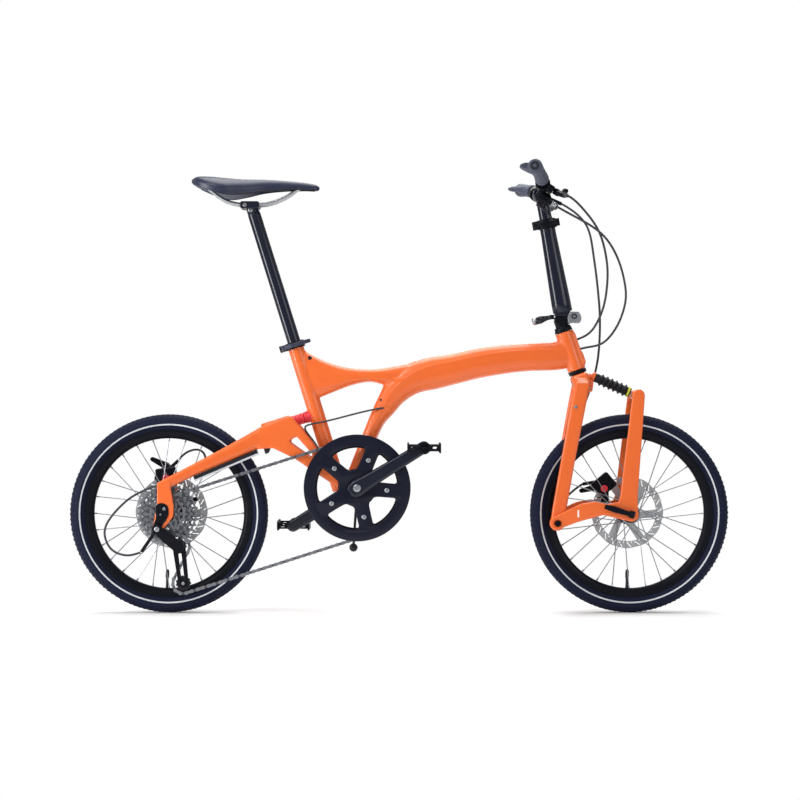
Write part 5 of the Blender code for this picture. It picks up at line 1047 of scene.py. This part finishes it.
def rails():
    half = [(114, 0, 44), (106, 8, 38), (80, 15, 19), (48, 20, 5), (20, 22, 0), (-20, 22, 0), (-56, 25, 9),
            (-88, 30, 31), (-100, 31, 43)]
    wire = tube(smooth(both_sides(POST_TOP, half), 6), 3.5)
    hand_over(wire, "rail_wire", stainless, "seat", "saddle_rails", slot="bright_steel")


# How far along, how wide, and the crown, lower edge and hollow in millimetres from the saddle's top.
SADDLE_STATIONS = (
    (0.00, 0.34, -4, -15, 5), (0.05, 0.74, 1, -22, 7), (0.16, 0.98, 0, -34, 13), (0.28, 0.98, -3, -43, 18),
    (0.42, 0.66, -5, -40, 21), (0.56, 0.40, -5, -33, 20), (0.72, 0.28, -7, -29, 17),
    (0.88, 0.235, -11, -28, 14), (0.97, 0.20, -15, -29, 12), (1.00, 0.11, -19, -28, 8),
)
SADDLE_LENGTH, SADDLE_WIDTH = 275 * MM, 146 * MM


def closing(ring, way):
    """Two smaller rings beyond an end ring, which round it off."""
    middle = sum(ring, Vector()) / len(ring)
    return [[middle + (point - middle) * share + Vector((way * ahead * MM, 0, 0)) for point in ring]
            for share, ahead in ((0.75, 1.8), (0.3, 2.8))]


def saddle():
    back, high = POST_TOP.x - 128 * MM, POST_TOP.z + 61 * MM
    rings, edge = [], []
    for along, wide, crown, wing, hollow in SADDLE_STATIONS:
        half, x = wide * SADDLE_WIDTH / 2, back + along * SADDLE_LENGTH
        top, low = high + crown * MM, high + wing * MM
        deep, under = top - low, low + hollow * 0.55 * MM
        side = [(0.0, top), (0.42, top - MM), (0.8, top - 0.18 * deep), (1.0, top - 0.55 * deep),
                (0.99, low + 0.1 * deep), (0.95, low), (0.6, under)]
        ring = [Vector((x, half * w, z)) for w, z in side]
        ring.append(Vector((x, 0, under + 2 * MM)))
        ring += [Vector((x, -half * w, z)) for w, z in reversed(side[1:])]
        rings.append(smooth([*ring[-2:], *ring, *ring[:2]], 3)[6:6 + 3 * len(ring)])
        edge.append(Vector((x, half * 0.965, low + 0.6 * MM)))
    rings = [*reversed(closing(rings[0], -1)), *rings, *closing(rings[-1], 1)]
    cover = skin(smooth_rings(rings, 5))
    hand_over(cover, "saddle_cover", saddle_cover, "seat", "saddle", angle=60, slot="saddle_cover")
    for side in (-1, 1):
        line = [Vector((point.x, side * point.y, point.z)) for point in edge[1:-1]]
        hand_over(tube(smooth(line, 6), 1.5, 3), f"saddle_welt_{side + 1}", moulded_nylon, "seat")


seat_post()
rails()
saddle()
print("saddle from", len(SADDLE_STATIONS), "sections")

# %% [markdown]
# ## The two springs
#
# The rear spring is one cast block of elastomer that sits in a cup on the frame. The front one hides in a
# ribbed rubber sleeve. Each is turned in one piece and sits between the two bodies that squeeze it.

# %% Elastomer and bellows
def elastomer():
    face = CRANK + Vector((-116.5, 0, 152.1)) * MM + SEAT_BACK * 0.3 * MM
    length = 28.6
    run = [(10.5, 0), (11.6, 0.6), (12, 1.6), (12, 5)]
    for groove in (9, 14.3, 19.6):
        run += [(12, groove - 1.6), (11.2, groove - 0.5), (11.2, groove + 0.5), (12, groove + 1.6)]
    run += [(12, length - 1.6), (11.6, length - 0.6), (10.5, length)]
    block = lathe(run, face, SEAT_BACK, 48)
    cup = lathe([(12.2, 0.4), (13, 1.4), (13, 3), (12.5, 3.6), (12.5, 5), (13, 5.6), (13, 22)],
                face, -SEAT_BACK, 40)
    bore(cup, 15.2, 30, -420, SEAT_TOP, SEAT_UP)
    hand_over(cup, "elastomer_cup", red_urethane, "frame")
    between(block, "elastomer_block", red_urethane, ("rear_spring", "rear_arm"),
            face, face + SEAT_BACK * length * MM, "rear_elastomer", slot="red_elastomer")


SPRING_BACK, SPRING_FRONT = at_y(pivot(86, 318), 0), at_y(pivot(164, 284), 0)


def bellows():
    axis = (SPRING_FRONT - SPRING_BACK).normalized()
    length = (SPRING_FRONT - SPRING_BACK).length / MM - 0.6
    ribs, steps, cuff = 6, 10, 9
    pitch = (length - 2 * cuff) / ribs
    run = [(8, 0), (10, 0.6), (10, cuff - 1)]
    for k in range(ribs * steps + 1):
        wave = (0.5 - 0.5 * cos(tau * k / steps)) ** 2.2
        run.append((9.6 + 4.3 * wave, cuff + pitch * k / steps))
    run += [(10, length - cuff + 1), (10, length - 0.6), (8, length)]
    start = SPRING_BACK + axis * 0.3 * MM
    between(lathe(run, start, axis, 40), "bellows_sleeve", bellows_rubber, ("front_spring", "front_arm"),
            SPRING_BACK, SPRING_FRONT, "front_bellows", slot="black_plastic")
    ring = [(9.5, length - 8), (11.6, length - 7.6), (11.6, length - 3.4), (9.5, length - 3)]
    hand_over(lathe(ring, start, axis, 40), "bellows_ring", lime_nylon, "front_arm")


elastomer()
bellows()

# %% [markdown]
# ## The control cables
#
# Cables are held at both ends and cross several joints, so each is cut into lengths at the joints. Every
# length follows the route of the CAD cable, as a smooth round tube, and rides on one body, or on none where
# it spans two.

# %% Places on the handlebar
CONTROL_TILT = radians(31)
REACH = Vector((cos(CONTROL_TILT), 0, -sin(CONTROL_TILT)))
LEVER_AXIS = Vector((sin(CONTROL_TILT), 0, cos(CONTROL_TILT)))
CONTROL_Y = 118 * MM
BAR_HALF = [(0, 0, 0), (0, 45, 0), (-2, 95, 7), (-8, 150, 20), (-19, 215, 29), (-31, 279, 36)]
BAR_RUN = both_sides(BAR, BAR_HALF)
BAR_LINE = smooth(BAR_RUN, 6)


def bar_at(y):
    """The bar's centre and outward direction at a distance from its middle."""
    k = min(range(1, len(BAR_LINE) - 1), key=lambda i: abs(BAR_LINE[i].y - y))
    way = (BAR_LINE[k + 1] - BAR_LINE[k - 1]).normalized()
    return BAR_LINE[k] + way * (y - BAR_LINE[k].y) / way.y, way if y > 0 else -way


def brake_barrel(side):
    start = bar_at(side * CONTROL_Y)[0] + REACH * 12 * MM - LEFT * side * 14 * MM + LEVER_AXIS * 3 * MM
    return start, start + REACH * 48 * MM - LEFT * side * 4 * MM + LEVER_AXIS * 5 * MM


SHIFTER = bar_at(-CONTROL_Y + 21 * MM)[0] + REACH * 12 * MM - LEVER_AXIS * 20 * MM
SHIFT_MOUTH = SHIFTER + REACH * 36 * MM


def leaving(start, mouth):
    """The first points of a cable that comes straight out of a barrel."""
    way = (mouth - start).normalized()
    return [mouth - way * 2 * MM, mouth + way * 7 * MM, mouth + way * 15 * MM]


# %% Cables
def at(dx, y, dz):
    return FRONT_AXLE + Vector((dx, y, dz)) * MM


EASE_STEP = 4 * MM


def eased(points, rounds):
    """An even line through the points with its kinks eased out and its ends kept straight."""
    line = smooth(points, 8)
    run, left = [line[0]], EASE_STEP
    for start, end in zip(line, line[1:]):
        gap, done = (end - start).length, 0.0
        while gap - done >= left:
            done += left
            run.append(start.lerp(end, done / gap))
            left = EASE_STEP
        left -= gap - done
    run.append(line[-1])
    for _ in range(rounds):
        inner = [(a + 2 * b + c) / 4 for a, b, c in zip(run[2:-3], run[3:-2], run[4:-1])]
        run = [*run[:3], *inner, *run[-2:]]
    return run


def cable(name, points, parts, radius=2.5, rounds=30):
    """A cable cut into lengths: each part is the index of its last point and the bodies it joins."""
    line = eased(points, rounds)
    first = 0
    for k, (last, *bodies) in enumerate(parts):
        cut = min(range(len(line)), key=lambda i: (line[i] - Vector(points[last])).length)
        run = line[first:cut + 1]
        piece = tube(run, radius, 3)
        piece_name, nodes = f"{name}_{k}", (name,) if k == 0 else ()
        if len(bodies) == 2:
            start, end = run[len(run) // 12], run[-1 - len(run) // 12]
            between(piece, piece_name, cable_vinyl, bodies, start, end, *nodes, slot="black_rubber")
        else:
            hand_over(piece, piece_name, cable_vinyl, bodies[0], *nodes, slot="black_rubber")
        first = cut


def cables():
    low_port, high_port = on_head(42, 22, -5), on_head(64, 22, 5)
    away = HEAD_AHEAD * 16 * MM
    cable("rear_brake_cable", [
        *leaving(*brake_barrel(-1)), at(-76, -88, 620), at(-54, -56, 555), at(-50, -30, 505),
        at(-58, -12, 447), at(-82, 0, 398), high_port + away, high_port,
    ], ((4, "cockpit", "post"), (7, "post", "steering"), (9, "steering", "frame")))
    cable("shift_cable", [
        *leaving(SHIFTER, SHIFT_MOUTH), at(-68, -72, 612), at(-28, -52, 555), at(-10, -40, 487),
        at(-12, -36, 456), at(-28, -28, 410), at(-60, -14, 370), low_port + away, low_port,
    ], ((4, "cockpit", "post"), (7, "post", "steering"), (10, "steering", "frame")))
    cable("front_brake_cable", [
        *leaving(*brake_barrel(1)), at(-84, 92, 640), at(-70, 72, 560), at(-62, 62, 486),
        at(-58, 62, 420), at(-64, 64, 330), at(-88, 68, 250), at(-130, 72, 150), at(-186, 74, 60),
        at(-200, 74, 20), at(-180, 73, -2), at(-150, 68, 16), at(-122, 60, 44), at(-106, 52, 58),
        at(-98, 49.5, 62),
    ], ((4, "cockpit", "post"), (7, "post", "steering"), (9, "steering"), (12, "steering", "front_spring"),
        (16, "front_spring", "front_arm")))
    cable("window_cable", [at_y(crank(x, z), y) for x, z, y in (
        (57, 174, -22), (44, 172, -24.6), (10, 165, -25.4), (-60, 147, -25.3), (-98, 139, -24),
        (-117, 134, -22), (-112, 122, -21.5), (-92, 96, -22.8), (-78, 70, -24), (-66, 44, -24))],
        ((9, "frame", "rear_spring"),), 2, 6)
    cable("rear_shift_cable", [at_y(rear(x, z), y) for x, z, y in (
        (-17, 62.6, -72.8), (-36, 58, -72.8), (-86, 30, -76.8), (-131, -26, -80.8), (-120, -72, -84),
        (-84, -88, -84), (-54, -81, -84))], ((6, "rear_arm"),), rounds=10)
    cable("rear_brake_hose", [at_y(rear(x, z), y) for x, z, y in (
        (16, 116.5, 60), (25, 127, 60), (40, 136, 60), (58, 139, 59), (71, 132, 57.5), (75, 119, 56.4))],
        ((5, "rear_arm"),), rounds=4)


cables()

# %% [markdown]
# ## Posts and hinge
#
# The handlepost is a tapered tube on the upper leaf of the folding hinge, and the riser slides in it.
# Both are turned. The hinge leaves are milled from plate with round corners, and a bright clamp holds the
# pin.

# %% Handlepost, riser and hinge
def leaf(places, y_low, y_high, radius=4):
    """A milled leaf of the hinge, by its corners in millimetres from the pin."""
    return plate([rounded([offset(HINGE)(*place) for place in places], radius)], y_low, y_high, 1.0, 2)


def posts():
    post = lathe([(20.6, 5), (21.5, 6.5), (21.5, 24), (20.9, 48), (17.5, 160), (17, 174), (17, 210.8),
                  (16.4, 212), (14.4, 212)], POST_FOOT, POST_UP, 56)
    lug = lathe([(7.2, -9.9), (8, -9.2), (8, 9.2), (7.2, 9.9)], HINGE, LEFT, 36)
    foot = leaf(((-42, 0.3), (-8, 0.3), (-8, 16.3), (-42, 16.3)), -17.5, 17.5)
    web = leaf(((-14, 2.2), (0, 2.2), (0, 8), (-14, 8)), -9.9, 9.9, 1)
    hand_over(join(post, lug, foot, web), "handlepost_tube", black_gloss, "post", "handlepost",
              slot="black_alloy")
    stalk = lathe([(13, -32), (14.3, -31), (14.3, 118)], HEAD_LOW, HEAD_UP, 48)
    base = leaf(((-42, -15.7), (-6, -15.7), (-6, -0.3), (-42, -0.3)), -17.5, 17.5)
    pin = rod(3.5, -17, 17, HINGE, LEFT, 20)
    left_lug = rod(8, 10.4, 17.4, HINGE, LEFT, 36)
    hand_over(join(stalk, base, pin, left_lug), "hinge_base", black_alloy, "steering", "steerer",
              slot="black_alloy")
    jaw = leaf(((-14, -15), (13, -15.5), (17, -2), (10, 11), (-9, 11), (-14, 1)), -20.6, -17.7, 5)
    right_lug = rod(8, -17.7, -10.4, HINGE, LEFT, 36)
    hand_over(join(jaw, right_lug), "hinge_jaw", silver_forging, "steering")
    nut = lathe([(3.6, 0), (6, 0), (6, 1.4), (5.2, 2.0), (3.6, 2.0)], HINGE - LEFT * 20.6 * MM, -LEFT, 28,
                ring=True)
    hand_over(nut, "hinge_jaw_nut", black_alloy, "steering")
    stem = lathe([(13, 110), (14, 111), (14, 252), (13.4, 260)], POST_FOOT, POST_UP, 48)
    clamp = lathe([(16.5, -22), (18.2, -20.5), (18.7, -18), (18.7, 18), (18.2, 20.5), (16.5, 22)],
                  BAR, LEFT, 48)
    hand_over(join(stem, clamp), "riser_tube", black_gloss, "cockpit", "stem_riser", slot="black_alloy")
    for side in (-1, 1):
        place = BAR + Vector((17.2, side * 11, -6.5)) * MM
        bolt(place, Vector((0.93, 0, -0.36)), 3.6, 2.4, stainless, "cockpit", f"bar_clamp_bolt_{side + 1}")


posts()

# %% [markdown]
# ## Handlebar and levers
#
# The bar is one bent tube. Each grip is moulded rubber with a wing for the palm, so its tube and wing are
# melted into one skin. The brake levers are forged blades that taper to a ball.

# %% Bar, grips and levers
def handlebar():
    line = smooth(BAR_RUN, 10)
    radii = [12.7 if abs(point.y) < 36 * MM else 11.1 for point in line]
    bar = tube(line, 11.1, 6, radii)
    hand_over(bar, "bar_tube", black_gloss, "cockpit", "handlebar", slot="black_alloy")


GRIP_STEPS, WING_POINTS = 12, 14
WING_TURNS = [tau * k / WING_POINTS for k in range(WING_POINTS)]


def grip(name, side):
    start, length = 152 * MM, 127 * MM
    run, radii = [], []
    for k in range(GRIP_STEPS + 1):
        share = k / GRIP_STEPS
        point, way = bar_at(side * (start + (length - 6 * MM) * share))
        run.append(point)
        radii.append(15.5 - 1.5 * sin(pi * share))
    tip = run[-1]
    for ahead, radius in ((3.5, 15.3), (6.5, 14), (8.3, 11.5)):
        run.append(tip + way * ahead * MM)
        radii.append(radius)
    sleeve = tube(run, 15.5, 6, radii)
    rings = []
    for part, reach, thick in ((0.40, 16, 8), (0.6, 28, 8), (0.8, 36, 7), (0.96, 33, 6.5)):
        point, _ = bar_at(side * (start + (length - 9 * MM) * part))
        middle = point + Vector((-reach / 2, 0, 3)) * MM
        rings.append([middle + Vector((reach / 2 * cos(a), 0, thick * sin(a))) * MM for a in WING_TURNS])
    boolean(sleeve, skin(smooth_rings(rings, 4)), "UNION")
    soften(sleeve, 1.0, 8)
    hand_over(sleeve, name + "_sleeve", grip_rubber, "cockpit", name, angle=60, slot="grip_rubber")
    stopper = lathe([(9.5, -2), (9.5, 0.2), (8, 0.8), (4.5, 0.2), (3, -0.2)], tip + way * 8.3 * MM, way, 28)
    hand_over(stopper, name + "_plug", moulded_nylon, "cockpit")


def brake_lever(name, body, side):
    at_pivot = bar_at(side * CONTROL_Y)[0] + REACH * 34 * MM
    boss = lathe([(6.6, -6.5), (7.6, -5.7), (7.6, 5.7), (6.6, 6.5)], at_pivot, LEVER_AXIS, 32)
    run = smooth([at_pivot + LEFT * side * out * MM + REACH * ahead * MM
                  for out, ahead in ((2, 1), (16, 13), (34, 19), (62, 16), (92, 12), (116, 15))], 6)
    radii = [6 - 1.6 * k / (len(run) - 1) for k in range(len(run))]
    for back, radius in ((5, 5.4), (3, 5.9), (1, 5.2), (0, 4.0)):
        radii[-1 - back] = radius
    blade = join(boss, tube(run, 6, 5, radii))
    hand_over(blade, name + "_blade", black_alloy, body, name, slot="black_alloy")
    bolt(at_pivot + LEVER_AXIS * 6.5 * MM, LEVER_AXIS, 4, 1.8, stainless, body, name + "_screw")


handlebar()
for side, word in ((-1, "right"), (1, "left")):
    grip(word + "_grip", side)
    brake_lever(word + "_brake_lever", "brake_lever_" + word, side)
adjuster = lathe([(4.6, 20), (5.8, 21), (5.8, 24), (5.0, 25), (5.8, 26), (5.8, 30), (5.0, 31), (4.2, 36)],
                 SHIFTER, REACH, 20)
hand_over(adjuster, "shift_adjuster", silver_forging, "cockpit")

# %% [markdown]
# ## Castings and forgings
#
# The arms, the fork, the cranks and the brake bodies are cast or forged, so none of their edges is sharp.
# Their CAD form is right, and a merged copy of it is remeshed into one even skin and melted a little. A
# turned or sawn piece keeps its flat faces and only gets its edges rounded.

# %% Castings and forgings
TIP_GROWTH = 4 * MM


def box_corners(node):
    return [Vector(corner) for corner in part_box(node)]


def thicken_tip(lever):
    """The latch lever grows from its pivot to its tip, which is where a hand pulls it."""
    low, high = box_corners("post_latch_lever")
    for point in lever.data.vertices:
        share = (high.x - point.co.x) / (high.x - low.x)
        point.co += point.normal * min(max(2.5 * share - 0.9, 0), 1) * TIP_GROWTH


# Each row has the node, its body, finish and slot, the skin's cell size and the rounds of melting.
castings = {}
for node, body, material, slot, voxel, rounds in (
    ("rear_swingarm", "rear_arm", orange_paint, "orange_paint", 1.8, 8),
    ("fork", "steering", orange_paint, "orange_paint", 1.8, 8),
    ("front_swingarm", "front_arm", orange_paint, "orange_paint", 1.8, 8),
    ("right_crank", "cranks", black_gloss, "black_alloy", 1.2, 6),
    ("left_crank", "cranks", black_gloss, "black_alloy", 1.2, 6),
    ("rear_caliper", "rear_arm", black_alloy, "black_alloy", 0.9, 4),
    ("front_caliper", "front_arm", black_alloy, "black_alloy", 0.9, 4),
    ("derailleur", "rear_arm", black_alloy, "black_alloy", 0.9, 4),
    ("right_control", "cockpit", black_alloy, "black_alloy", 0.9, 6),
    ("left_control", "cockpit", black_alloy, "black_alloy", 0.9, 6),
    ("seat_clamp_lever", "seat_lever", grey_alloy, "black_alloy", 0.8, 5),
    ("post_latch_lever", "post_latch", black_gloss, "black_alloy", 0.8, 6),
    ("collar_lever", "post_lever", black_alloy, "black_alloy", 0.8, 5),
    ("rear_qr_lever", "rear_release", black_alloy, "black_alloy", 0.8, 5),
    ("front_qr_lever", "front_release", black_alloy, "black_alloy", 0.8, 5),
    ("shift_lever", "shifter", moulded_nylon, "black_plastic", 0.7, 4),
):
    copy = cad_copy(node)
    soften(copy, voxel, rounds)
    if node == "post_latch_lever":
        thicken_tip(copy)
    castings[node] = hand_over(copy, node + "_casting", material, body, node, angle=80, slot=slot)
# The silver cap on the tip of the black latch lever is a painted highlight, where the tip catches the light.
low, high = box_corners("post_latch_lever")
tip = Vector((low.x - 3 * MM, (low.y + high.y) / 2, low.z + 3.6 * MM))
highlight_cap = lathe([(8, -4), (9, -3), (9, 2), (7.6, 4.4), (4, 5.6)], tip, Vector((-0.96, 0, -0.28)), 32)
hand_over(highlight_cap, "post_latch_tip_highlight", silver_forging, "post_latch")
print("castings", len(castings))

# %% Turned and sawn pieces
# Each row has the node, its body and finish, and the width of its rounded edges.
for node, body, material, edge in (
    ("headset_upper", "frame", black_alloy, 0.8), ("headset_lower", "frame", black_alloy, 0.8),
    ("bottom_bracket", "frame", black_alloy, 0.6), ("rest_leg", "frame", moulded_nylon, 0.4),
    ("seat_collar", "frame", black_alloy, 0.6), ("post_collar", "post", black_alloy, 0.8),
    ("rear_caliper_arm", "rear_brake", black_alloy, 0.6),
    ("front_caliper_arm", "front_brake", black_alloy, 0.6),
):
    copy = cad_copy(node)
    round_edges(copy, edge)
    hand_over(copy, node + "_piece", material, body, node)

# %% [markdown]
# ## The pedals
#
# A cage pedal has a turned bearing barrel, two pressed end plates and two bars with teeth that grip the
# shoe. The plates are cut from sheet, and a bar is skinned through slices whose height rises and falls.

# %% Pedals
BAR_SECTION = ((-2, -0.9), (-1.2, -1), (1.2, -1), (2, -0.9), (2, 0.9), (1.2, 1), (-1.2, 1), (-2, 0.9))
BAR_SLICES = 30


def pedal(word, side):
    low, high = box_corners(word + "_pedal")
    spot = offset((low + high) / 2)
    centre = spot(0, 0)
    near = (low.y if side > 0 else high.y) / MM
    long = (high.y - low.y) / MM
    barrel = lathe([(8, 0), (11, 0.8), (11, 8), (9.2, 12), (9.2, long - 12), (11, long - 8), (11, long - 1),
                    (9, long), (5, long), (5, long - 1.5)], at_y(centre, near), LEFT * side, 32)
    body = "pedal_" + word
    hand_over(barrel, word + "_pedal_barrel", black_alloy, body, word + "_pedal", slot="black_alloy")
    plates = []
    for start in (2.7, long - 5):
        ys = sorted((near + side * start, near + side * (start + 5)))
        corners = [spot(-33, -7), spot(-33, 7), *arc(centre, 13.5, 150, 30, 8),
                   spot(33, 7), spot(33, -7), *arc(centre, 13.5, -30, -150, 8)]
        slots = [rounded([spot(way * a, b) for a, b in ((18, -3), (28, -3), (28, 3), (18, 3))], 3)
                 for way in (-1, 1)]
        plates.append(plate([rounded(corners, 3, 3), *slots], *ys, 0.8, 2))
    hand_over(join(*plates), word + "_pedal_plates", black_alloy, body)
    bars = []
    for way in (-1, 1):
        rings = []
        for k in range(BAR_SLICES + 1):
            y = near + side * (3.2 + (long - 3.7) * k / BAR_SLICES)
            tall = 11 if k % 5 in (2, 3) else 8.4
            rings.append([at_y(spot(way * (34 + across), up * tall), y) for across, up in BAR_SECTION])
        bars.append(skin(rings))
    hand_over(join(*bars), word + "_pedal_bars", black_alloy, body, angle=30)


pedal("right", -1)
pedal("left", 1)

# %% [markdown]
# ## Small fittings
#
# The last pieces are the small ones that an eye looks for: screws, plugs, adjusting knobs, and the strip
# that keeps the chain off the paint. Plugs and strips are put where a line of sight from the right meets
# the piece that carries them.

# %% Seating helpers
def on_skin(obj, place):
    """Where a line of sight from the right meets a piece, and which way its skin faces there."""
    bpy.context.view_layer.update()
    hit, spot, facing, _ = obj.ray_cast(at_y(place, -OUTSIDE / MM), LEFT)
    if not hit:
        raise ValueError(f"{obj.name} isn't met at {place}")
    return spot, facing


def plug(name, obj, place, radius, material, body):
    """A round plug with a hollow middle, pressed into a skin."""
    spot, facing = on_skin(obj, place)
    rim = [(radius, -1.2), (radius, 0.3), (radius * 0.9, 0.7), (radius * 0.72, 0.7), (radius * 0.6, 0.2)]
    hand_over(lathe(rim, spot, facing, 28), name, material, body)


BAND_STEPS = 12


def band(name, obj, places, wide, thick, material, body, drop=0.0):
    """A flat strip along a skin, which may hang below the line that it is laid on."""
    rings = []
    way = (Vector(places[1]) - Vector(places[0])).normalized()
    across = Vector((-way.y, 0, way.x)) * wide / 2 * MM
    out = -LEFT * thick * MM
    for k in range(BAND_STEPS + 1):
        place = Vector(places[0]).lerp(Vector(places[1]), k / BAND_STEPS)
        spot = on_skin(obj, place)[0] - across.normalized() * drop * MM
        rings.append([spot - across + LEFT * MM, spot + across + LEFT * MM, spot + across + out * 0.6,
                      spot + across * 0.85 + out, spot - across * 0.85 + out, spot - across + out * 0.6])
    hand_over(skin(rings), name, material, body)


# %% Small fittings
# Cable ports and a plug in the frame, by their x and z.
for k, place in enumerate(((-39.8 * MM, 466.4 * MM), (-48.6 * MM, 446.6 * MM))):
    plug(f"cable_port_{k}", frame_shell, place, 2.8, moulded_nylon, "frame")
plug("frame_plug", frame_shell, (-196 * MM, 558.8 * MM), 4.5, moulded_nylon, "frame")
# The strip that the chain may slap, in two layers, and the peg below it.
arm = castings["rear_swingarm"]
band("chain_strip_back", arm, (rear(57, 84), rear(195, 142.5)), 12, 2.2, reflective_band, "rear_arm", 7.6)
band("chain_strip", arm, (rear(58, 84.4), rear(194, 142.1)), 8.4, 2.9, moulded_nylon, "rear_arm", 5.4)
peg = [crank(*corner) for corner in ((-205, 88), (-189, 87), (-193, 76), (-201, 73))]
hand_over(plate([rounded(peg, 2)], -38, -30, 0.6), "arm_peg", moulded_nylon, "rear_arm")
# The hanger plate, and the cover of the derailleur from its upper bolt to the guide pulley.
hanger = [rear(*corner) for corner in ((-22, 22), (-8, 27), (5, 20), (7, 4), (2, -11), (-8, -22), (-10, -42),
                                       (-26, -42), (-28, -24), (-21, -8))]
hand_over(plate([rounded(hanger, 6)], -79.4, -77.2, 0.7, 2), "hanger_plate", black_alloy, "rear_arm")
hanger_bolt = rear(-18, -30.5)
start, end = at_y(hanger_bolt, -88.4), at_y(GUIDE_PULLEY, -70.8)
across = Vector((start.z - end.z, 0, end.x - start.x)).normalized()
rings = []
for share, half in ((0.2, 5), (0.28, 8), (0.5, 9.6), (0.78, 9.6), (0.9, 6)):
    middle = start.lerp(end, share)
    rings.append([middle + (across * half * a - LEFT * b) * MM
                  for a, b in ((1, -0.4), (0.8, 1.8), (-0.8, 1.8), (-1, -0.4))])
hand_over(skin(smooth_rings(rings, 4)), "derailleur_cover", grey_alloy, "rear_arm")
# Screws and bolts that face right, with the y of their seat and the radius of their head.
for name, place, y, radius, material, body in (
    ("hanger_screw_upper", rear(-3.5, 13), -79.4, 3.6, silver_forging, "rear_arm"),
    ("hanger_screw_lower", rear(-11, 1), -79.4, 2.4, silver_forging, "rear_arm"),
    ("hanger_bolt", hanger_bolt, -90.1, 5.5, silver_forging, "rear_arm"),
    ("guide_pulley_screw", GUIDE_PULLEY, -56.3, 3.6, silver_forging, "rear_arm"),
    ("tension_pulley_screw", TENSION_PULLEY, -56.3, 3.6, silver_forging, "rear_arm"),
    ("crank_bolt", crank(0, 0), -70.2, 8, silver_forging, "cranks"),
    ("front_pivot_bolt", pivot(0, 0), -64.2, 7, black_alloy, "front_arm"),
):
    bolt(at_y(place, y), -LEFT, radius, 2.4, material, body, name)
spot, facing = on_skin(castings["fork"], (384.8 * MM, 451 * MM))
bolt(spot, facing, 3.6, 2, silver_forging, "steering", "fork_bolt")
band("arm_mark", castings["front_swingarm"], (front(-116, -6), front(-116, 10)), 3.5, 0.4, white_vinyl,
     "front_arm")
# Knobs that adjust the brake pads, and the bright ring on the front hub.
for name, place, body in (("rear_pad_knob", at_y(rear(-10.6, 75.7), 37), "rear_arm"),
                          ("front_pad_knob", at_y(front(-52, 53), 24.5), "front_arm")):
    knob = lathe([(8, -1), (8, 3.2), (7.2, 4), (4, 4), (3.6, 3)], place, -LEFT, 12)
    hand_over(knob, name, red_urethane, body, angle=25)
flange = [(19, -34.5), (22.2, -34.5), (22.7, -33.5), (22.7, -31.5), (19, -31.5)]
hand_over(lathe(flange, FRONT_AXLE, LEFT, 48, ring=True), "front_hub_flange", silver_forging, "front_wheel")
# The two hook plates that hold the front arm to the head tube, by their x and z.
hook = [(401, 503), (414, 511), (427, 509), (424, 484), (408, 484)]
for side in (-1, 1):
    ys = sorted((side * 11.2, side * 16))
    link_plate = plate([rounded([(x * MM, z * MM) for x, z in hook], 5)], *ys, 0.8, 2)
    hand_over(link_plate, f"hook_plate_{side + 1}", orange_paint, "front_arm", slot="orange_paint")
    for k, height in enumerate((503, 491)):
        place = Vector((417, side * 16, height)) * MM
        bolt(place, LEFT * side, 3.4, 2, silver_forging, "front_arm", f"hook_bolt_{side + 1}_{k}")
